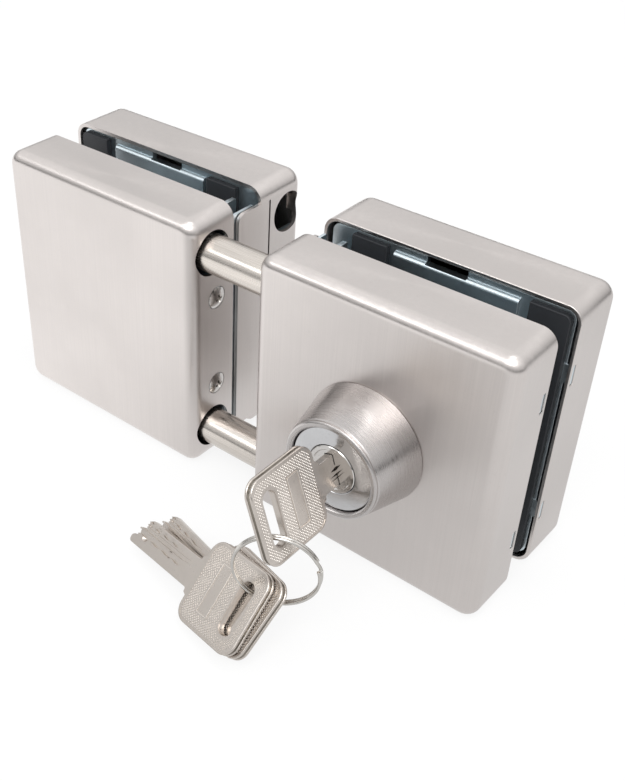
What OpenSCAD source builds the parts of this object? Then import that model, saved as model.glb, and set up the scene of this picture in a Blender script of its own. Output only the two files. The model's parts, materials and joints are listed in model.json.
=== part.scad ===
// Double-bolt lock for a frameless glass door: a keyed lock clamp, a strike clamp and linked keys.
// X runs from the strike clamp to the lock clamp, the keyed side faces -Y and Z is up.
// The glass lies in the plane Y = 0. The lock clamp starts at X = 0 and stands on Z = 0.
// Inside a clamp, sizes are taken along its width, up its height and outwards from the glass.

/* [Covers] */
// Width of each cover
cover_w = 82; // [78:1:110]
// Height of each cover
cover_h = 90; // [86:1:130]
// Depth of the front covers, from rim to face
front_depth = 19; // [18.6:0.2:26]
// Depth of the rear covers, from rim to face
rear_depth = 20.8; // [18:0.2:26]
// Thickness of the cover sheet
sheet = 1.2; // [1:0.1:1.5]
// Radius of the cover corners
corner_r = 5; // [4.5:0.5:8]
// Radius of the edge between face and walls
edge_r = 4; // [3:0.5:4]
// Distance between the strike clamp and the lock clamp
unit_gap = 24; // [20:1:27]

/* [Glass and clamp] */
// Thickness of the clamped glass
glass_t = 12; // [10:0.5:12]
// Distance from the glass to each cover rim
rim_clear = 0.5; // [0.4:0.1:1]
// Thickness of the front rubber pads
front_pad_t = 1.4; // [1:0.1:2]
// Thickness of the rear rubber pads
rear_pad_t = 2; // [1.8:0.1:3]
// Width of each rubber pad
pad_w = 12; // [8:1:16]
// Thickness of the frame and clamp plates
plate_t = 2; // [1.6:0.1:2.4]
// Distance from the meeting edge to the web that stops the glass
web_x = 8.4; // [8.4:0.1:12]
// Thickness of the web
web_t = 1.6; // [1.2:0.1:2.4]
// How far the rear half closes for thinner glass
close_travel = 2; // [0.5:0.1:2]
// Diameter of the clamp screws
clamp_screw_d = 3; // [2.5:0.5:3]
// Distance between the two clamp screws
clamp_screw_pitch = 40; // [30:1:44]
// Height of the raised panel above its plate
panel_rise = 1.4; // [0.8:0.1:1.7]
// Width of the notch in the clamp plate
notch_w = 13; // [8:1:20]
// Depth of the notch in the clamp plate
notch_depth = 2.6; // [1.5:0.1:3]

/* [Edge tab and clips] */
// Gap between the edge tab and the opposite rim
tab_clear = 2.4; // [2.2:0.1:3.5]
// Radius of the free corners of the edge tab
tab_r = 3; // [1:0.5:4]
// Distance from the rim to the slit beside the edge tab
slit_set = 4; // [3:0.1:5]
// Width of the slit
slit_w = 0.7; // [0.5:0.1:1]
// Distance between the two clip slots of a cover
clip_pitch = 48; // [40:1:56]
// Height of a clip slot
clip_h = 6.6; // [5:0.2:9]
// Width of a clip slot
clip_w = 1.8; // [1.6:0.1:2.2]
// Distance from the rim to a clip slot
clip_set = 1; // [0.8:0.1:1.4]

/* [Bolts] */
// Diameter of the locking bolts
bolt_d = 12; // [10:0.5:12]
// Distance from each end of a cover to the nearer bolt axis
bolt_end = 12.5; // [12:0.5:15]
// Distance from the front rim to the bolt axis
bolt_set = 9.5; // [9.3:0.1:9.8]
// Distance from the rear rim to the axis of the strike's rear bolt holes
rear_hole_set = 13.5; // [12:0.1:13.8]
// Gap around a bolt in the holes it passes
bolt_clear = 1.4; // [0.8:0.1:1.5]
// Diameter of the strike's rear bolt holes
rear_hole_d = 13.6; // [12.8:0.1:13.8]
// Radial gap of a bolt in its guides
guide_clear = 0.05; // [0.03:0.01:0.08]
// How far the bolts reach into the strike clamp
strike_reach = 6; // [3:0.5:8]
// Distance from the lock's meeting edge to the rear end of the bolts
bolt_tail = 48; // [47:0.5:49]
// Width of the bolt carriage
carriage_w = 20; // [16:1:21]
// Thickness of the bolt carriage
carriage_t = 1.3; // [1.3:0.1:1.5]

/* [Strike screws] */
// Distance between the two strike screws
strike_screw_pitch = 32.4; // [28:0.4:36]
// Diameter of the strike screws
strike_screw_d = 4; // [3:0.5:4]
// Diameter of the strike screw heads
strike_head_d = 7.2; // [6:0.2:8]
// Length of the strike screws behind their wall
strike_screw_l = 6; // [5:0.5:8]
// Thickness of the keeper plates
keeper_t = 2.2; // [1.8:0.1:3]

/* [Cylinder] */
// Width of the collar's wall at its front rim
collar_wall = 2; // [1.6:0.1:3]
// How much the collar widens on each side towards the cover
collar_flare = 3.8; // [2.6:0.2:5]
// Length of the collar in front of the cover
collar_h = 16.8; // [12:0.2:18]
// Diameter of the cylinder body
cylinder_d = 26.4; // [25.6:0.1:27]
// How far the cylinder face stands back from the collar rim
cylinder_recess = 1.2; // [0.8:0.1:2]
// Length of the cylinder body
cylinder_l = 24.9; // [22:0.1:25]
// Diameter of the plug
plug_d = 13; // [12.4:0.1:13.6]
// Diameter of the plug flange
flange_d = 15; // [14.6:0.1:16]
// How much wider the cylinder's nut is than the cylinder
nut_extra = 4.6; // [3.6:0.2:6]
// Number of pins
pins = 5; // [4:1:6]
// Diameter of a pin
pin_d = 2.6; // [2.2:0.1:2.8]
// Angle of the key from its upright home position
key_turn = 20; // [0:1:20]

/* [Rack and pinion] */
// Tooth module
tooth_m = 1; // [0.9:0.05:1]
// Number of pinion teeth
teeth = 10; // [10:1:11]
// Thickness of the pinion
pinion_t = 3; // [2:0.1:3]

/* [Keys] */
// Length of a key bow
bow_l = 25.2; // [24:0.2:28]
// Width of a key bow
bow_w = 25.8; // [24:0.2:28]
// Radius of the bow's corners
bow_r = 4.5; // [3:0.5:6]
// Thickness of a key
key_t = 2.6; // [2.2:0.1:2.7]
// Width of a key blade
blade_w = 9.4; // [8:0.1:9.6]
// Length of the ring slot in a bow
slot_l = 16.6; // [15:0.2:18]
// Width of the ring slot in a bow
slot_w = 4.8; // [4.6:0.1:5]
// Distance from the outer end of a bow to the middle of its slot
slot_set = 6.2; // [5.6:0.2:8]
// Visible length of the blade between the plug and the bow
neck_l = 7; // [5:0.2:8]
// Outer diameter of the split ring
ring_d = 25; // [24:0.2:26]
// Diameter of the split ring's wire
wire_d = 1; // [0.8:0.1:1]
// Direction of the ring's plane, from the X axis
ring_yaw = 28; // [24:1:32]
// Place of the upper spare key around the ring
upper_key_at = 234; // [230:1:235]
// Place of the lower spare key around the ring
lower_key_at = 252; // [252:1:256]

/* [Hidden] */
$fn = 48;
steel_color = "#c9c3bd";
zinc_color = "#8d9ba3";
rubber_color = "#23272c";
chrome_color = "#d8d9db";
key_color = "#bdb5ad";
// Overshoot of cutting bodies
over = 1;
// Clearance between a plate and the cover around it
plate_fit = 1;
// Place of the cover rims and of the plates, outwards from the glass mid-plane
rim = glass_t / 2 + rim_clear;
frame_face = glass_t / 2 + front_pad_t;
frame_back = frame_face + plate_t;
clamp_face = glass_t / 2 + rear_pad_t;
clamp_back = clamp_face + plate_t;
front_face = rim + front_depth;
rear_face = rim + rear_depth;
tab_l = 2 * rim - tab_clear;
// Places across and up a cover
mid_x = cover_w / 2;
mid_h = cover_h / 2;
inset = sheet + plate_fit;
lug_over = plate_fit + sheet - 0.3;
// Strip of the front plate behind the gap between a tab and the opposite rim
strip_x = sheet + 0.3;
strip_t = 1;
web_end = 5;
web_reach = clamp_face - close_travel - 1.6;
boss_d = clamp_screw_d + 3.6;
clamp_head_d = 1.75 * clamp_screw_d;
boss_x = web_x - boss_d / 2 + 0.8;
pad_edge = web_x + web_t + 0.3;
pad_margin = 0.7;
panel_end = 4;
panel_gap = 1.8;
// Bolts and their guides
bolt_at = rim + bolt_set;
rear_bolt_at = rim + rear_hole_set;
bolt_pitch = cover_h - 2 * bolt_end;
bolt_hole_d = bolt_d + 2 * bolt_clear;
bolt_tip = -unit_gap - strike_reach;
bolt_chamfer = 0.8;
guide_wall = 2.2;
front_guide = [sheet + 0.4, 12];
rear_guide = [19.5, 26];
carriage_face = frame_back + 0.4;
carriage_front = carriage_face + carriage_t;
carriage_end = bolt_end - 4.5;
bolt_screw_d = 3;
bolt_screw_head = 5.5;
screw_at = bolt_at - 1.8;
rear_screw_at = rear_bolt_at - 2.4;
keeper_fit = 0.2;
keeper_reach = (bolt_pitch - bolt_hole_d) / 2 - keeper_fit;
dome_h = 1.2;
// Cylinder and plug
cylinder_face = front_face + collar_h - cylinder_recess;
cylinder_back = cylinder_face - cylinder_l;
collar_fit = 0.15;
collar_front_d = cylinder_d + 2 * collar_wall;
collar_base_d = collar_front_d + 2 * collar_flare;
nut_af = cylinder_d + nut_extra;
nut_t = 3.6;
plug_fit = 0.05;
flange_t = 1.6;
plug_face = cylinder_face + 0.2;
retainer_t = 0.8;
retainer_back = cylinder_back - 0.1 - retainer_t;
plug_land = 0.6;
tail_d = 6;
pinion_face = carriage_front + 0.4;
keyway_clear = 0.15;
keyway_end = cylinder_back + 0.6;
pin_pitch = 3.5;
first_pin = cylinder_face - 4;
driver_l = 2.4;
bore_end = 1.5;
spring_l = (cylinder_d - plug_d) / 2 - driver_l - bore_end;
// Rack and pinion
pressure = 25;
pitch_r = tooth_m * teeth / 2;
base_r = pitch_r * cos(pressure);
addendum = 0.8 * tooth_m;
dedendum = 1 * tooth_m;
backlash = 0.2;
flank_points = 6;
rack_pitch = PI * tooth_m;
rack_travel = 2 * PI * pitch_r;
rack_over = 3.5;
rack_teeth = ceil((rack_travel + 2 * rack_over) / rack_pitch);
rack_back = 5;
home_shift = pitch_r * key_turn * PI / 180;
rack_start = mid_x - rack_travel + home_shift - rack_over;
// Keys
key_len = cylinder_face - keyway_end - 0.3 + neck_l;
bow_lap = 5;
tip_cut = 2.1;
first_dimple = 6;
rim_band = 1.2;
rim_step = 0.25;
groove_w = 1.4;
groove_depth = 0.5;
bow_slot_at = cylinder_face + neck_l + bow_l - slot_set;
blade_tip = bow_l - slot_set + key_len;
slot_end = slot_l / 2 - slot_w / 2;
ring_r = ring_d / 2 - wire_d / 2;
ring_axial = 0.45 * wire_d;
key_down = [sin(key_turn), 0, -cos(key_turn)];
// How far the ring leans and drops from the middle of the round end of the key's slot
ring_lean = 0.4;
ring_drop = 0.25;
ring_top = [mid_x, ring_lean - bow_slot_at, mid_h] + (slot_end + ring_drop) * key_down;
ring_mid = ring_top - [0, 0, ring_r];
ring_dir = [cos(ring_yaw), sin(ring_yaw), 0];
upper_hang = ring_mid + ring_r * (cos(upper_key_at) * ring_dir + [0, 0, sin(upper_key_at)]);
lower_hang = ring_mid + ring_r * (cos(lower_key_at) * ring_dir + [0, 0, sin(lower_key_at)]);
// Directions of the spare keys' blades, and of their widths from the ring downwards
upper_blade = unit([-0.97, 0.205, -0.128]);
lower_blade = unit([-0.953, 0.29, -0.085]);
upper_width = across([-0.055, -0.704, -0.708], upper_blade);
lower_width = across([-0.159, -0.677, -0.719], lower_blade);
// Small shifts of the spare keys on the wire, along their blade, width and face
upper_slip = [0, 0, 0];
lower_slip = [-0.25, -0.25, -0.02];

function unit(v) = v / norm(v);
// Part of v at right angles to the unit vector a, with length 1
function across(v, a) = unit(v - (v * a) * a);
// Points of the arc that rounds corner b between a and c
function arc_corner(a, b, c, r, steps) =
    let (u = unit(a - b), v = unit(c - b), half = acos(u * v) / 2, o = b + unit(u + v) * r / sin(half),
        s = b + u * r / tan(half) - o, e = b + v * r / tan(half) - o, a0 = atan2(s[1], s[0]),
        turn = (atan2(e[1], e[0]) - a0 + 540) % 360 - 180)
    [for (i = [0 : steps]) o + r * [cos(a0 + turn * i / steps), sin(a0 + turn * i / steps)]];
function rounded(points, r, steps = 5) = [for (i = [0 : len(points) - 1])
    each arc_corner(points[(i + len(points) - 1) % len(points)], points[i], points[(i + 1) % len(points)],
        r, steps)];
function involute_turn(r) = let (a = acos(base_r / r)) tan(a) * 180 / PI - a;
function polar(r, a) = r * [cos(a), sin(a)];

// Places a shape drawn as width, height and outwards on the front or the rear half
module front_half() {
    rotate([90, 0, 0]) children();
}

module rear_half() {
    mirror([0, 1, 0]) rotate([90, 0, 0]) children();
}

module on_strike() {
    translate([-unit_gap, 0, 0]) mirror([1, 0, 0]) children();
}

module on_axis() {
    translate([mid_x, 0, mid_h]) rotate([90, 0, 0]) children();
}

// A hole or pin along the width, at a height and a distance outwards
module along_x(x0, x1, h, out, d) {
    translate([x0, h, out]) rotate([0, 90, 0]) cylinder(d = d, h = x1 - x0);
}

module round_rect(x0, y0, x1, y1, r) {
    translate([x0 + r, y0]) square([x1 - x0 - 2 * r, y1 - y0]);
    translate([x0, y0 + r]) square([x1 - x0, y1 - y0 - 2 * r]);
    for (x = [x0 + r, x1 - r], y = [y0 + r, y1 - r]) translate([x, y]) circle(r);
}

// Outline of a cover, moved in by a distance
module cover_outline(in) {
    round_rect(in, in, cover_w - in, cover_h - in, corner_r - in);
}

// Section through a wall and its rounded edge
module wall_section(depth) {
    flat = corner_r - edge_r;
    difference() {
        union() {
            square([flat, depth]);
            square([corner_r, depth - edge_r]);
            translate([flat, depth - edge_r]) quarter(edge_r);
        }
        translate([0, -over]) square([flat, depth - sheet + over]);
        translate([0, -over]) square([corner_r - sheet, depth - edge_r + over]);
        translate([flat, depth - edge_r]) quarter(edge_r - sheet);
    }
}

module quarter(r) {
    intersection() {
        circle(r);
        square(r);
    }
}

module wall_side(x, h, turn, length, depth) {
    translate([x, h, rim]) rotate([0, 0, turn]) rotate([90, 0, 0]) linear_extrude(length) wall_section(depth);
}

module wall_corner(x, h, turn, depth) {
    translate([x, h, rim]) rotate([0, 0, turn]) rotate_extrude(angle = 90) wall_section(depth);
}

// Open box of bent sheet with rounded corners and edges
module cover_shell(depth) {
    right = cover_w - corner_r;
    top = cover_h - corner_r;
    wall_side(right, top, 0, top - corner_r, depth);
    wall_side(corner_r, top, 90, right - corner_r, depth);
    wall_side(corner_r, corner_r, 180, top - corner_r, depth);
    wall_side(right, corner_r, 270, right - corner_r, depth);
    wall_corner(right, top, 0, depth);
    wall_corner(corner_r, top, 90, depth);
    wall_corner(corner_r, corner_r, 180, depth);
    wall_corner(right, corner_r, 270, depth);
    translate([corner_r, corner_r, rim + depth - sheet]) cube([right - corner_r, top - corner_r, sheet]);
}

// Flat tab that covers the edge of the glass, an extension of the wall at the meeting edge
module edge_tab() {
    translate([sheet, 0, 0]) rotate([0, -90, 0]) linear_extrude(sheet) {
        translate([rim - tab_l, corner_r + tab_r]) square([tab_l, cover_h - 2 * (corner_r + tab_r)]);
        translate([rim - tab_l + tab_r, corner_r]) square([tab_l - tab_r, cover_h - 2 * corner_r]);
        for (h = [corner_r + tab_r, cover_h - corner_r - tab_r])
            translate([rim - tab_l + tab_r, h]) circle(tab_r);
    }
}

module clip_slots() {
    for (h = [mid_h - clip_pitch / 2, mid_h + clip_pitch / 2])
        translate([cover_w - sheet - over, h - clip_h / 2, rim + clip_set])
            cube([sheet + 2 * over, clip_h, clip_w]);
}

module slit() {
    translate([-over, corner_r, rim + slit_set])
        cube([sheet + 2 * over, cover_h - 2 * corner_r, slit_w]);
}

module bolt_holes(out, d) {
    for (h = bolt_heights()) along_x(-over, sheet + over, h, out, d);
}

module strike_screw_holes(out) {
    for (h = screw_heights()) along_x(-over, sheet + keeper_t + 2 * over, h, out, strike_screw_d);
}

function bolt_heights() = [mid_h - bolt_pitch / 2, mid_h + bolt_pitch / 2];
function screw_heights() = [mid_h - strike_screw_pitch / 2, mid_h + strike_screw_pitch / 2];
function clamp_screw_heights() = [mid_h - clamp_screw_pitch / 2, mid_h + clamp_screw_pitch / 2];

// Lug that holds a cover through its clip slot
module lugs(back) {
    for (h = [mid_h - clip_pitch / 2, mid_h + clip_pitch / 2])
        translate([cover_w - inset - over, h - clip_h / 2 + 0.2, rim + clip_set + 0.2])
            cube([over + lug_over, clip_h - 0.4, min(back, rim + clip_set + clip_w) - rim - clip_set - 0.4]);
}

// Front plate with the web, the strip at the meeting edge, the screw bosses and the lugs
module front_frame() {
    difference() {
        union() {
            translate([0, 0, frame_face]) linear_extrude(plate_t) cover_outline(inset);
            translate([web_x, web_end, -web_reach])
                cube([web_t, cover_h - 2 * web_end, frame_face + web_reach]);
            translate([strip_x, web_end, -web_reach])
                cube([strip_t, cover_h - 2 * web_end, frame_back + web_reach]);
            for (h = clamp_screw_heights()) translate([boss_x, h, -web_reach])
                cylinder(d = boss_d, h = frame_face + web_reach);
            lugs(frame_back);
        }
        for (h = clamp_screw_heights()) translate([boss_x, h, -web_reach - over])
            cylinder(d = clamp_screw_d + 2 * plug_fit, h = frame_back + web_reach + 2 * over);
    }
}

// Two blocks that guide one bolt, cast on the front plate
module bolt_guides(h) {
    difference() {
        translate([0, 0, frame_back - 0.5]) linear_extrude(bolt_at + bolt_d / 2 + 0.6 - frame_back + 0.5)
            intersection() {
                cover_outline(inset);
                union() {
                    for (x = [front_guide, rear_guide]) translate([x[0], h - bolt_d / 2 - guide_wall])
                        square([x[1] - x[0], bolt_d + 2 * guide_wall]);
                }
            }
        along_x(0, rear_guide[1] + over, h, bolt_at, bolt_d + 2 * guide_clear);
    }
}

// Clamp plate with a notch at both ends, a raised panel and lugs
module clamp_plate() {
    panel_x = pad_edge + pad_w + panel_gap;
    panel_l = cover_w - 2 * inset - 2 * panel_x + pad_edge;
    difference() {
        union() {
            translate([0, 0, clamp_face]) linear_extrude(plate_t) cover_outline(inset);
            translate([panel_x, 0, 0]) rotate([90, 0, 90]) linear_extrude(panel_l)
                difference() {
                    union() {
                        translate([panel_end + panel_rise, clamp_face - panel_rise])
                            square([cover_h - 2 * (panel_end + panel_rise), panel_rise + plate_t / 2]);
                        for (h = [panel_end + panel_rise, cover_h - panel_end - panel_rise])
                            translate([h, clamp_face]) circle(panel_rise);
                    }
                    translate([0, clamp_face + plate_t / 2]) square([cover_h, plate_t]);
                }
            lugs(clamp_back);
        }
        for (h = clamp_screw_heights()) translate([boss_x, h, clamp_face - over])
            cylinder(d = clamp_screw_d + 0.4, h = plate_t + 2 * over);
        for (h = [inset - over, cover_h - inset - notch_depth])
            translate([mid_x - notch_w / 2, h, clamp_face - over])
                cube([notch_w, notch_depth + over, plate_t + 2 * over]);
    }
}

// Rubber pads along both sides, cut to the outline of their plate
module pads(face, thickness) {
    for (x = [pad_edge, cover_w - inset - pad_margin - pad_w]) translate([0, 0, face])
        linear_extrude(thickness) intersection() {
            cover_outline(inset + pad_margin);
            translate([x, 0]) square([pad_w, cover_h]);
        }
}

module clamp_screws() {
    for (h = clamp_screw_heights()) translate([boss_x, h, 0]) difference() {
        union() {
            translate([0, 0, -frame_face + close_travel])
                cylinder(d = clamp_screw_d, h = frame_face - close_travel + clamp_back + over);
            translate([0, 0, clamp_back]) cylinder(d = clamp_head_d, h = clamp_screw_d);
        }
        translate([0, 0, clamp_back + clamp_screw_d / 2])
            cylinder(d = 0.85 * clamp_screw_d, h = clamp_screw_d, $fn = 6);
    }
}

// Plate behind the meeting wall of a strike cover, shaped to the rounded edge of the cover
module keeper(start, face, h0, h1) {
    corner = edge_r - sheet - keeper_fit;
    side = sheet + keeper_fit;
    translate([0, h1, 0]) rotate([90, 0, 0]) linear_extrude(h1 - h0) intersection() {
        translate([side, start]) square([keeper_t, face - start]);
        union() {
            translate([side, start - over]) square([keeper_t + corner, face - edge_r - start + over]);
            translate([side + corner, face - edge_r]) circle(corner);
        }
    }
}

module clamp_head_notches(start) {
    for (h = clamp_screw_heights()) translate([boss_x, h, start - over])
        cylinder(d = clamp_head_d + 0.6, h = clamp_screw_d + over + 0.6);
}

// Oval-head screws with a cross recess
module strike_screws(out) {
    dome_r = (pow(strike_head_d / 2, 2) + pow(dome_h, 2)) / (2 * dome_h);
    for (h = screw_heights()) translate([0, h, out]) rotate([0, -90, 0]) difference() {
        union() {
            translate([0, 0, -sheet - strike_screw_l])
                cylinder(d = strike_screw_d, h = sheet + strike_screw_l + 0.2);
            rotate_extrude() intersection() {
                translate([0, dome_h - dome_r]) circle(dome_r);
                square([strike_head_d / 2, dome_h]);
            }
        }
        for (turn = [0, 90]) rotate([0, 0, turn + 12])
            translate([-strike_head_d * 0.28, -0.45, dome_h - 1.1]) cube([strike_head_d * 0.56, 0.9, 2]);
    }
}

module lock_front_cover() {
    color(steel_color) front_half() difference() {
        union() {
            cover_shell(front_depth);
            edge_tab();
        }
        clip_slots();
        slit();
        bolt_holes(bolt_at, bolt_hole_d);
        translate([mid_x, mid_h, front_face - sheet - over])
            cylinder(d = cylinder_d + 2 * collar_fit, h = sheet + 2 * over);
    }
}

module lock_rear_cover() {
    color(steel_color) rear_half() difference() {
        cover_shell(rear_depth);
        clip_slots();
    }
}

module strike_front_cover() {
    color(steel_color) on_strike() front_half() difference() {
        cover_shell(front_depth);
        clip_slots();
        bolt_holes(bolt_at, bolt_hole_d);
        strike_screw_holes(screw_at);
    }
}

module strike_rear_cover() {
    color(steel_color) on_strike() rear_half() difference() {
        union() {
            cover_shell(rear_depth);
            edge_tab();
        }
        clip_slots();
        slit();
        bolt_holes(rear_bolt_at, rear_hole_d);
        strike_screw_holes(rear_screw_at);
    }
}

module lock_frame() {
    color(zinc_color) front_half() {
        front_frame();
        for (h = bolt_heights()) bolt_guides(h);
    }
}

module strike_frame() {
    color(zinc_color) on_strike() front_half() front_frame();
}

module lock_clamp_plate() {
    color(zinc_color) rear_half() clamp_plate();
}

module strike_clamp_plate() {
    color(zinc_color) on_strike() rear_half() clamp_plate();
}

module lock_front_pads() {
    color(rubber_color) front_half() pads(glass_t / 2, front_pad_t);
}

module strike_front_pads() {
    color(rubber_color) on_strike() front_half() pads(glass_t / 2, front_pad_t);
}

module lock_rear_pads() {
    color(rubber_color) rear_half() pads(glass_t / 2, rear_pad_t);
}

module strike_rear_pads() {
    color(rubber_color) on_strike() rear_half() pads(glass_t / 2, rear_pad_t);
}

module lock_clamp_screws() {
    color(zinc_color) rear_half() clamp_screws();
}

module strike_clamp_screws() {
    color(zinc_color) on_strike() rear_half() clamp_screws();
}

module strike_front_keeper() {
    color(zinc_color) on_strike() front_half() difference() {
        keeper(frame_back, front_face, mid_h - keeper_reach, mid_h + keeper_reach);
        strike_screw_holes(screw_at);
        clamp_head_notches(frame_back);
    }
}

module strike_rear_keeper() {
    color(zinc_color) on_strike() rear_half() difference() {
        keeper(clamp_back, rear_face, mid_h - keeper_reach, mid_h + keeper_reach);
        strike_screw_holes(rear_screw_at);
        clamp_head_notches(clamp_back);
    }
}

module strike_front_screws() {
    color(chrome_color) on_strike() front_half() strike_screws(screw_at);
}

module strike_rear_screws() {
    color(chrome_color) on_strike() rear_half() strike_screws(rear_screw_at);
}

// Tapered collar around the cylinder
module lock_collar() {
    bore_r = cylinder_d / 2 + collar_fit;
    lip = 0.5;
    color(steel_color) on_axis() rotate_extrude() polygon([
        [bore_r, front_face],
        [collar_base_d / 2, front_face],
        [collar_front_d / 2, front_face + collar_h - lip],
        [collar_front_d / 2 - lip, front_face + collar_h],
        [bore_r + lip, front_face + collar_h],
        [bore_r, front_face + collar_h - lip]]);
}

module pin_row() {
    for (i = [0 : pins - 1]) translate([0, 0, first_pin - i * pin_pitch]) rotate([0, 90, 0]) children();
}

module cylinder_body() {
    bore_top = plug_d / 2 + plug_fit + driver_l + spring_l + 0.1;
    color(chrome_color) on_axis() difference() {
        translate([0, 0, cylinder_back]) cylinder(d = cylinder_d, h = cylinder_l);
        translate([0, 0, cylinder_back - over])
            cylinder(d = plug_d + 2 * plug_fit, h = cylinder_l + 2 * over);
        translate([0, 0, cylinder_face - flange_t])
            cylinder(d = flange_d + 4 * plug_fit, h = flange_t + over);
        pin_row() translate([0, 0, plug_d / 4]) cylinder(d = pin_d + 0.1, h = bore_top - plug_d / 4);
    }
}

module cylinder_nut() {
    color(zinc_color) on_axis() translate([0, 0, front_face - sheet - nut_t]) difference() {
        cylinder(d = nut_af / cos(30), h = nut_t, $fn = 6);
        translate([0, 0, -over]) cylinder(d = cylinder_d, h = nut_t + 2 * over);
    }
}

module driver_pins() {
    color("goldenrod") on_axis() pin_row() translate([0, 0, plug_d / 2 + plug_fit])
        cylinder(d = pin_d, h = driver_l);
}

module pin_springs() {
    color(chrome_color) on_axis() pin_row() translate([0, 0, plug_d / 2 + plug_fit + driver_l]) difference() {
        cylinder(d = pin_d - 0.2, h = spring_l);
        translate([0, 0, -over]) cylinder(d = pin_d - 0.9, h = spring_l + 2 * over);
    }
}

module plug() {
    keyway_t = key_t + 2 * keyway_clear;
    keyway_w = blade_w + 2 * keyway_clear;
    color(chrome_color) on_axis() rotate([0, 0, key_turn]) difference() {
        union() {
            translate([0, 0, retainer_back - plug_land])
                cylinder(d = plug_d, h = cylinder_face - retainer_back + plug_land - 0.4);
            translate([0, 0, cylinder_face - flange_t + 0.1]) cylinder(d = flange_d, h = flange_t - 0.5);
            translate([0, 0, cylinder_face - 0.4])
                cylinder(d1 = flange_d, d2 = flange_d - 1.2, h = plug_face - cylinder_face + 0.4);
            translate([0, 0, pinion_face]) cylinder(d = tail_d, h = retainer_back - pinion_face);
        }
        translate([-keyway_t / 2, -keyway_w / 2, keyway_end]) cube([keyway_t, keyway_w, plug_face]);
        pin_row() translate([0, 0, key_t / 4]) cylinder(d = pin_d + 0.1, h = plug_d);
        translate([0, 0, retainer_back]) difference() {
            cylinder(d = plug_d + 2, h = retainer_t);
            translate([0, 0, -over]) cylinder(d = plug_d - 1.6, h = retainer_t + 2 * over);
        }
    }
}

module key_pins() {
    color("goldenrod") on_axis() rotate([0, 0, key_turn]) pin_row() translate([0, 0, key_t / 2 + 0.08]) {
        cylinder(d1 = 1.2, d2 = pin_d, h = 0.9);
        translate([0, 0, 0.9]) cylinder(d = pin_d, h = plug_d / 2 - key_t / 2 - 1.2);
    }
}

// Open retaining ring in the plug's groove
module plug_retainer() {
    color(zinc_color) on_axis() translate([0, 0, retainer_back]) linear_extrude(retainer_t) difference() {
        circle(d = plug_d + 3);
        circle(d = plug_d - 1.6);
        translate([-plug_d, -1.5]) square([plug_d, 3]);
    }
}

// One side of a pinion tooth, from root to tip
function flank(side, mid) =
    let (half = 90 / teeth - backlash / 4 / pitch_r * 180 / PI + involute_turn(pitch_r))
    [polar(pitch_r - dedendum, mid + side * half),
     for (i = [0 : flank_points]) let (r = base_r + (pitch_r + addendum - base_r) * i / flank_points)
        polar(r, mid + side * (half - involute_turn(r)))];
function reversed(list) = [for (i = [len(list) - 1 : -1 : 0]) list[i]];

module pinion() {
    color(zinc_color) on_axis() translate([0, 0, pinion_face]) difference() {
        linear_extrude(pinion_t) polygon([for (i = [0 : teeth - 1]) let (mid = -90 + i * 360 / teeth)
            each concat(flank(-1, mid), reversed(flank(1, mid)))]);
        translate([0, 0, -over]) cylinder(d = tail_d, h = pinion_t + 2 * over);
    }
}

// Toothed bar below the pinion, with a tooth space under the pinion's lowest tooth
module bolt_rack() {
    pitch_h = mid_h - pitch_r;
    slope = tan(pressure);
    half = rack_pitch / 4 - backlash / 4;
    first = ceil((rack_start - mid_x) / rack_pitch) * rack_pitch + mid_x + rack_pitch / 2;
    color(zinc_color) front_half() translate([0, 0, carriage_front]) linear_extrude(pinion_t + 0.3)
        polygon(concat(
            [[first + (rack_teeth - 1) * rack_pitch + rack_pitch / 2, pitch_h - dedendum],
             [first + (rack_teeth - 1) * rack_pitch + rack_pitch / 2, pitch_h - dedendum - rack_back],
             [first - rack_pitch / 2, pitch_h - dedendum - rack_back],
             [first - rack_pitch / 2, pitch_h - dedendum]],
            [for (i = [0 : rack_teeth - 1]) let (x = first + i * rack_pitch) each [
                [x - half - slope * dedendum, pitch_h - dedendum],
                [x - half + slope * addendum, pitch_h + addendum],
                [x + half - slope * addendum, pitch_h + addendum],
                [x + half + slope * dedendum, pitch_h - dedendum]]]));
}

// Plate that joins both bolts behind the pinion
module bolt_carriage() {
    color(zinc_color) front_half() difference() {
        translate([bolt_tail - carriage_w, carriage_end, carriage_face])
            cube([carriage_w, cover_h - 2 * carriage_end, carriage_t]);
        bolt_screw_places() translate([0, 0, carriage_face - over]) {
            cylinder(d = bolt_screw_d, h = carriage_t + 2 * over);
            translate([0, 0, over]) cylinder(d1 = bolt_screw_head, d2 = bolt_screw_d, h = carriage_t - 0.05);
        }
    }
}

module bolt_screw_places() {
    for (h = bolt_heights(), x = [0.25, 0.75]) translate([bolt_tail - carriage_w * x, h, 0]) children();
}

module locking_bolt(h) {
    color(chrome_color) front_half() difference() {
        union() {
            translate([bolt_tip, h, bolt_at]) rotate([0, 90, 0])
                cylinder(d1 = bolt_d - 2 * bolt_chamfer, d2 = bolt_d, h = bolt_chamfer);
            along_x(bolt_tip + bolt_chamfer, bolt_tail, h, bolt_at, bolt_d);
        }
        translate([bolt_tail - carriage_w - 0.2, h - bolt_d, 0])
            cube([carriage_w + over, 2 * bolt_d, carriage_front]);
        bolt_screw_places() cylinder(d = bolt_screw_d, h = bolt_at + 2);
    }
}

module upper_bolt() {
    locking_bolt(bolt_heights()[1]);
}

module lower_bolt() {
    locking_bolt(bolt_heights()[0]);
}

module bolt_screws() {
    color(zinc_color) front_half() bolt_screw_places() translate([0, 0, carriage_face]) {
        cylinder(d1 = bolt_screw_head, d2 = bolt_screw_d, h = carriage_t - 0.05);
        translate([0, 0, carriage_t - 0.05]) cylinder(d = bolt_screw_d, h = bolt_at + 1.5 - carriage_front);
    }
}

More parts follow.
